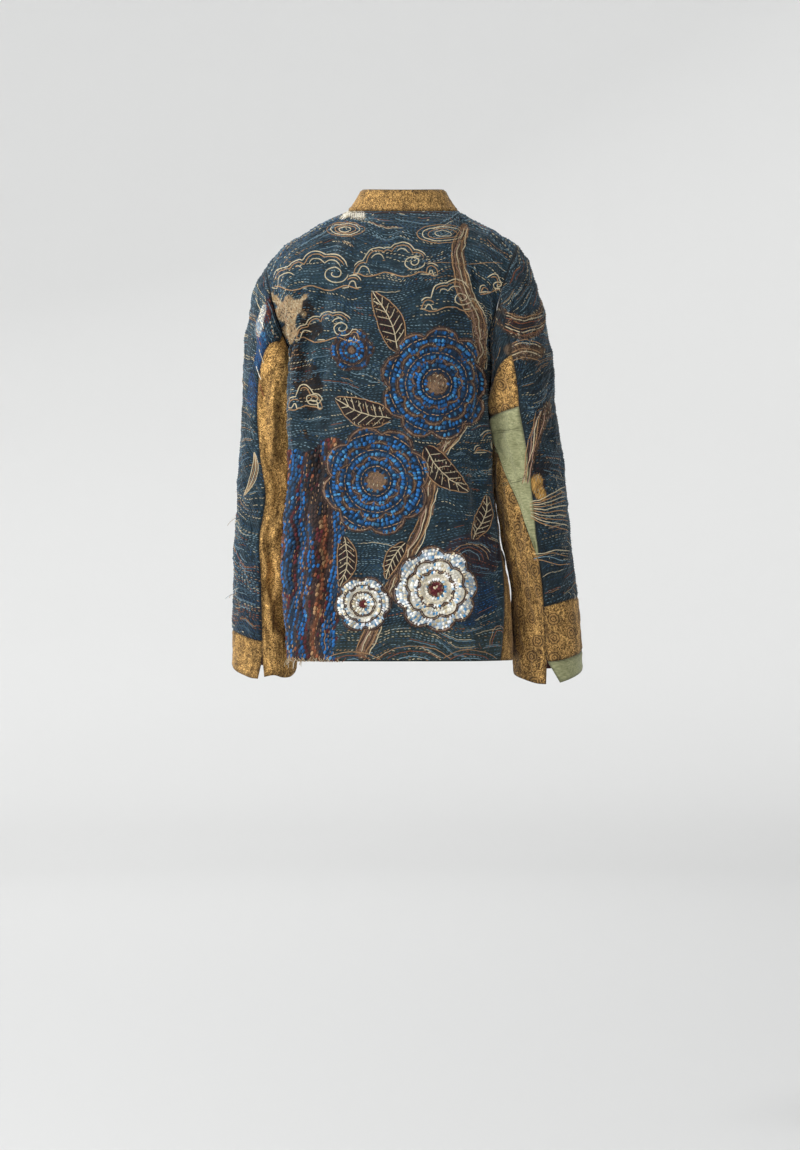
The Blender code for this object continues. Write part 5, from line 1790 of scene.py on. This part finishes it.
def twisted(tree):
    """Cotton thread."""
    twist = grain(tree, in_space(tree), 1200.0, 1.0)
    return (times(tree, painted(tree), ramp(tree, twist, (0.3, 0.78), (0.7, 1.15))),)


# The jacket
MATERIALS = {
    "indigo": material("quilted_indigo", 0.85, 0.15, quilted),
    "gold": material("printed_gold", 0.82, 0.1, lambda tree: printed(tree, 300.0, False)),
    "rosette": material("printed_rosettes", 0.82, 0.1, lambda tree: printed(tree, 210.0, True)),
    "green": material("woven_green", 0.7, 0.2, woven),
    "inside": material("reverse_maroon", 0.9, 0.1, reverse),
    "thread": material("cotton_thread", 0.75, 0.1, twisted),
}
cloths = {piece["name"]: fine_cloth(piece) for piece in PIECES}
TREE = surface_tree()
BACK_SPOTS = spot_tree(cloths["back"])

for name, cloth in cloths.items():
    shell = cloth_object(cloth)
    shell.data.materials.append(MATERIALS[cloth["cloth"]])
    shell.data.materials.append(MATERIALS["inside"])
    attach(shell, "root")
    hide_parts(name)

# The fronts don't show in the photograph, and are stitched more plainly
CONTOUR_SPACING = 0.009
for group, names, spacing, pitch, share, shape in (
    ("back", "back", 0.0036, 0.0064, 0.9, BOLSTER),
    ("fronts", "front_left front_right", 0.0042, 0.0070, 0.35, HUMP),
    ("left_sleeve", "sleeve_left_upper", 0.0036, 0.0064, 0.9, BOLSTER),
    ("right_sleeve", "sleeve_right_upper sleeve_right_under_top", 0.0036, 0.0064, 0.9, BOLSTER),
):
    sewing = [ground_stitches(cloths[name], spacing, pitch) for name in names.split()]
    thread_object("stitches_" + group, sewn(sewing, shape))
    threads = [contour_threads(cloths[name], CONTOUR_SPACING, share) for name in names.split()]
    thread_object("contours_" + group, tubes(sum(threads, [])))
thread_object("embroidery_flowers", sewn([bloom_stitches(bloom) for bloom in BLOOMS], BOLSTER))
thread_object("embroidery_stripes", sewn([stripe_stitches()], BOLSTER))
thread_object("embroidery_lines", tubes(embroidery_lines()))
TOPSTITCHING = table(
    "name side inset thread",
    """
    cuff_left head 0.004 brown, cuff_left foot 0.004 brown
    cuff_right head 0.004 brown, cuff_right foot 0.004 brown
    collar head 0.005 brown, collar foot 0.005 brown
    patch_right_green head 0.004 cream, patch_right_green foot 0.004 cream
    patch_right_gold head 0.004 brown, sleeve_left_under foot 0.005 brown
    sleeve_right_under_low foot 0.005 brown
    """,
)
rows = [topstitching(*row) for row in zip(*TOPSTITCHING.values(), strict=True)]
thread_object("topstitching", sewn(rows, HUMP))
thread_object("loose_threads", strands(frays()))

# Stage, light and camera: the floor's profile has a radius, a height, and a tone that is a little darker
# underfoot, where the light falls full on it.
FLOOR = table(
    "radius z tone",
    """
    1.5 -1.62 0.65, 5.6 -1.62 0.65, 6.3 -1.55 0.68, 6.9 -1.3 0.75, 7.3 -0.8 0.80, 7.5 0 0.81, 7.5 5 0.81
    """,
)
FLOOR_SIDES = 96


def studio():
    """A pale floor that rises into a wall all round, far enough out for every camera."""
    turn = np.linspace(0, 2 * np.pi, FLOOR_SIDES + 1)[:-1]
    radius, a = FLOOR["radius"][:, None], np.arange(FLOOR_SIDES)
    rings = points(radius * np.cos(turn), radius * np.sin(turn), FLOOR["z"][:, None])
    ring = np.stack([a, (a + 1) % FLOOR_SIDES, (a + 1) % FLOOR_SIDES + FLOOR_SIDES, a + FLOOR_SIDES], axis=1)
    faces = np.concatenate([ring + k * FLOOR_SIDES for k in range(len(radius) - 1)])
    floor = mesh_object("studio_floor", rings.reshape(-1, 3), [faces, a[None, ::-1]])
    give_colour(floor, np.repeat(FLOOR["tone"], FLOOR_SIDES)[:, None] * (1.0, 1.0, 0.99))
    floor.data.materials.append(material("pale_floor", 0.95, 0.0, lambda tree: (painted(tree),)))


def area_light(name, place, size, power):
    """A round light that shines on the jacket."""
    light = bpy.data.lights.new(name, "AREA")
    light.shape, light.size, light.energy = "DISK", size, power
    made = bpy.data.objects.new(name, light)
    made.location = place
    made.rotation_mode = "QUATERNION"
    made.rotation_quaternion = (Vector((0, 0, -0.4)) - Vector(place)).to_track_quat("-Z", "Y")
    bpy.context.scene.collection.objects.link(made)


studio()
scene = bpy.context.scene
world = bpy.data.worlds.new("soft_light")
world.use_nodes = True
world.node_tree.nodes["Background"].inputs["Color"].default_value = (0.95, 0.97, 1.0, 1)
world.node_tree.nodes["Background"].inputs["Strength"].default_value = 0.5
scene.world = world
scene.view_settings.view_transform = "Standard"
area_light("key", (5.3, 3.2, 3.1), 2.0, 450)
area_light("fill", (-4.4, 4.8, 0.8), 4.0, 24)
area_light("rear", (1.6, -5.6, 3.2), 4.0, 150)

lens = bpy.data.cameras.new("camera")
lens.lens = LENS
lens.clip_start, lens.clip_end = 0.1, 50
camera = bpy.data.objects.new("camera", lens)
camera.location = EYE
camera.rotation_euler = (math.pi / 2, 0, math.pi)
scene.collection.objects.link(camera)
scene.camera = camera
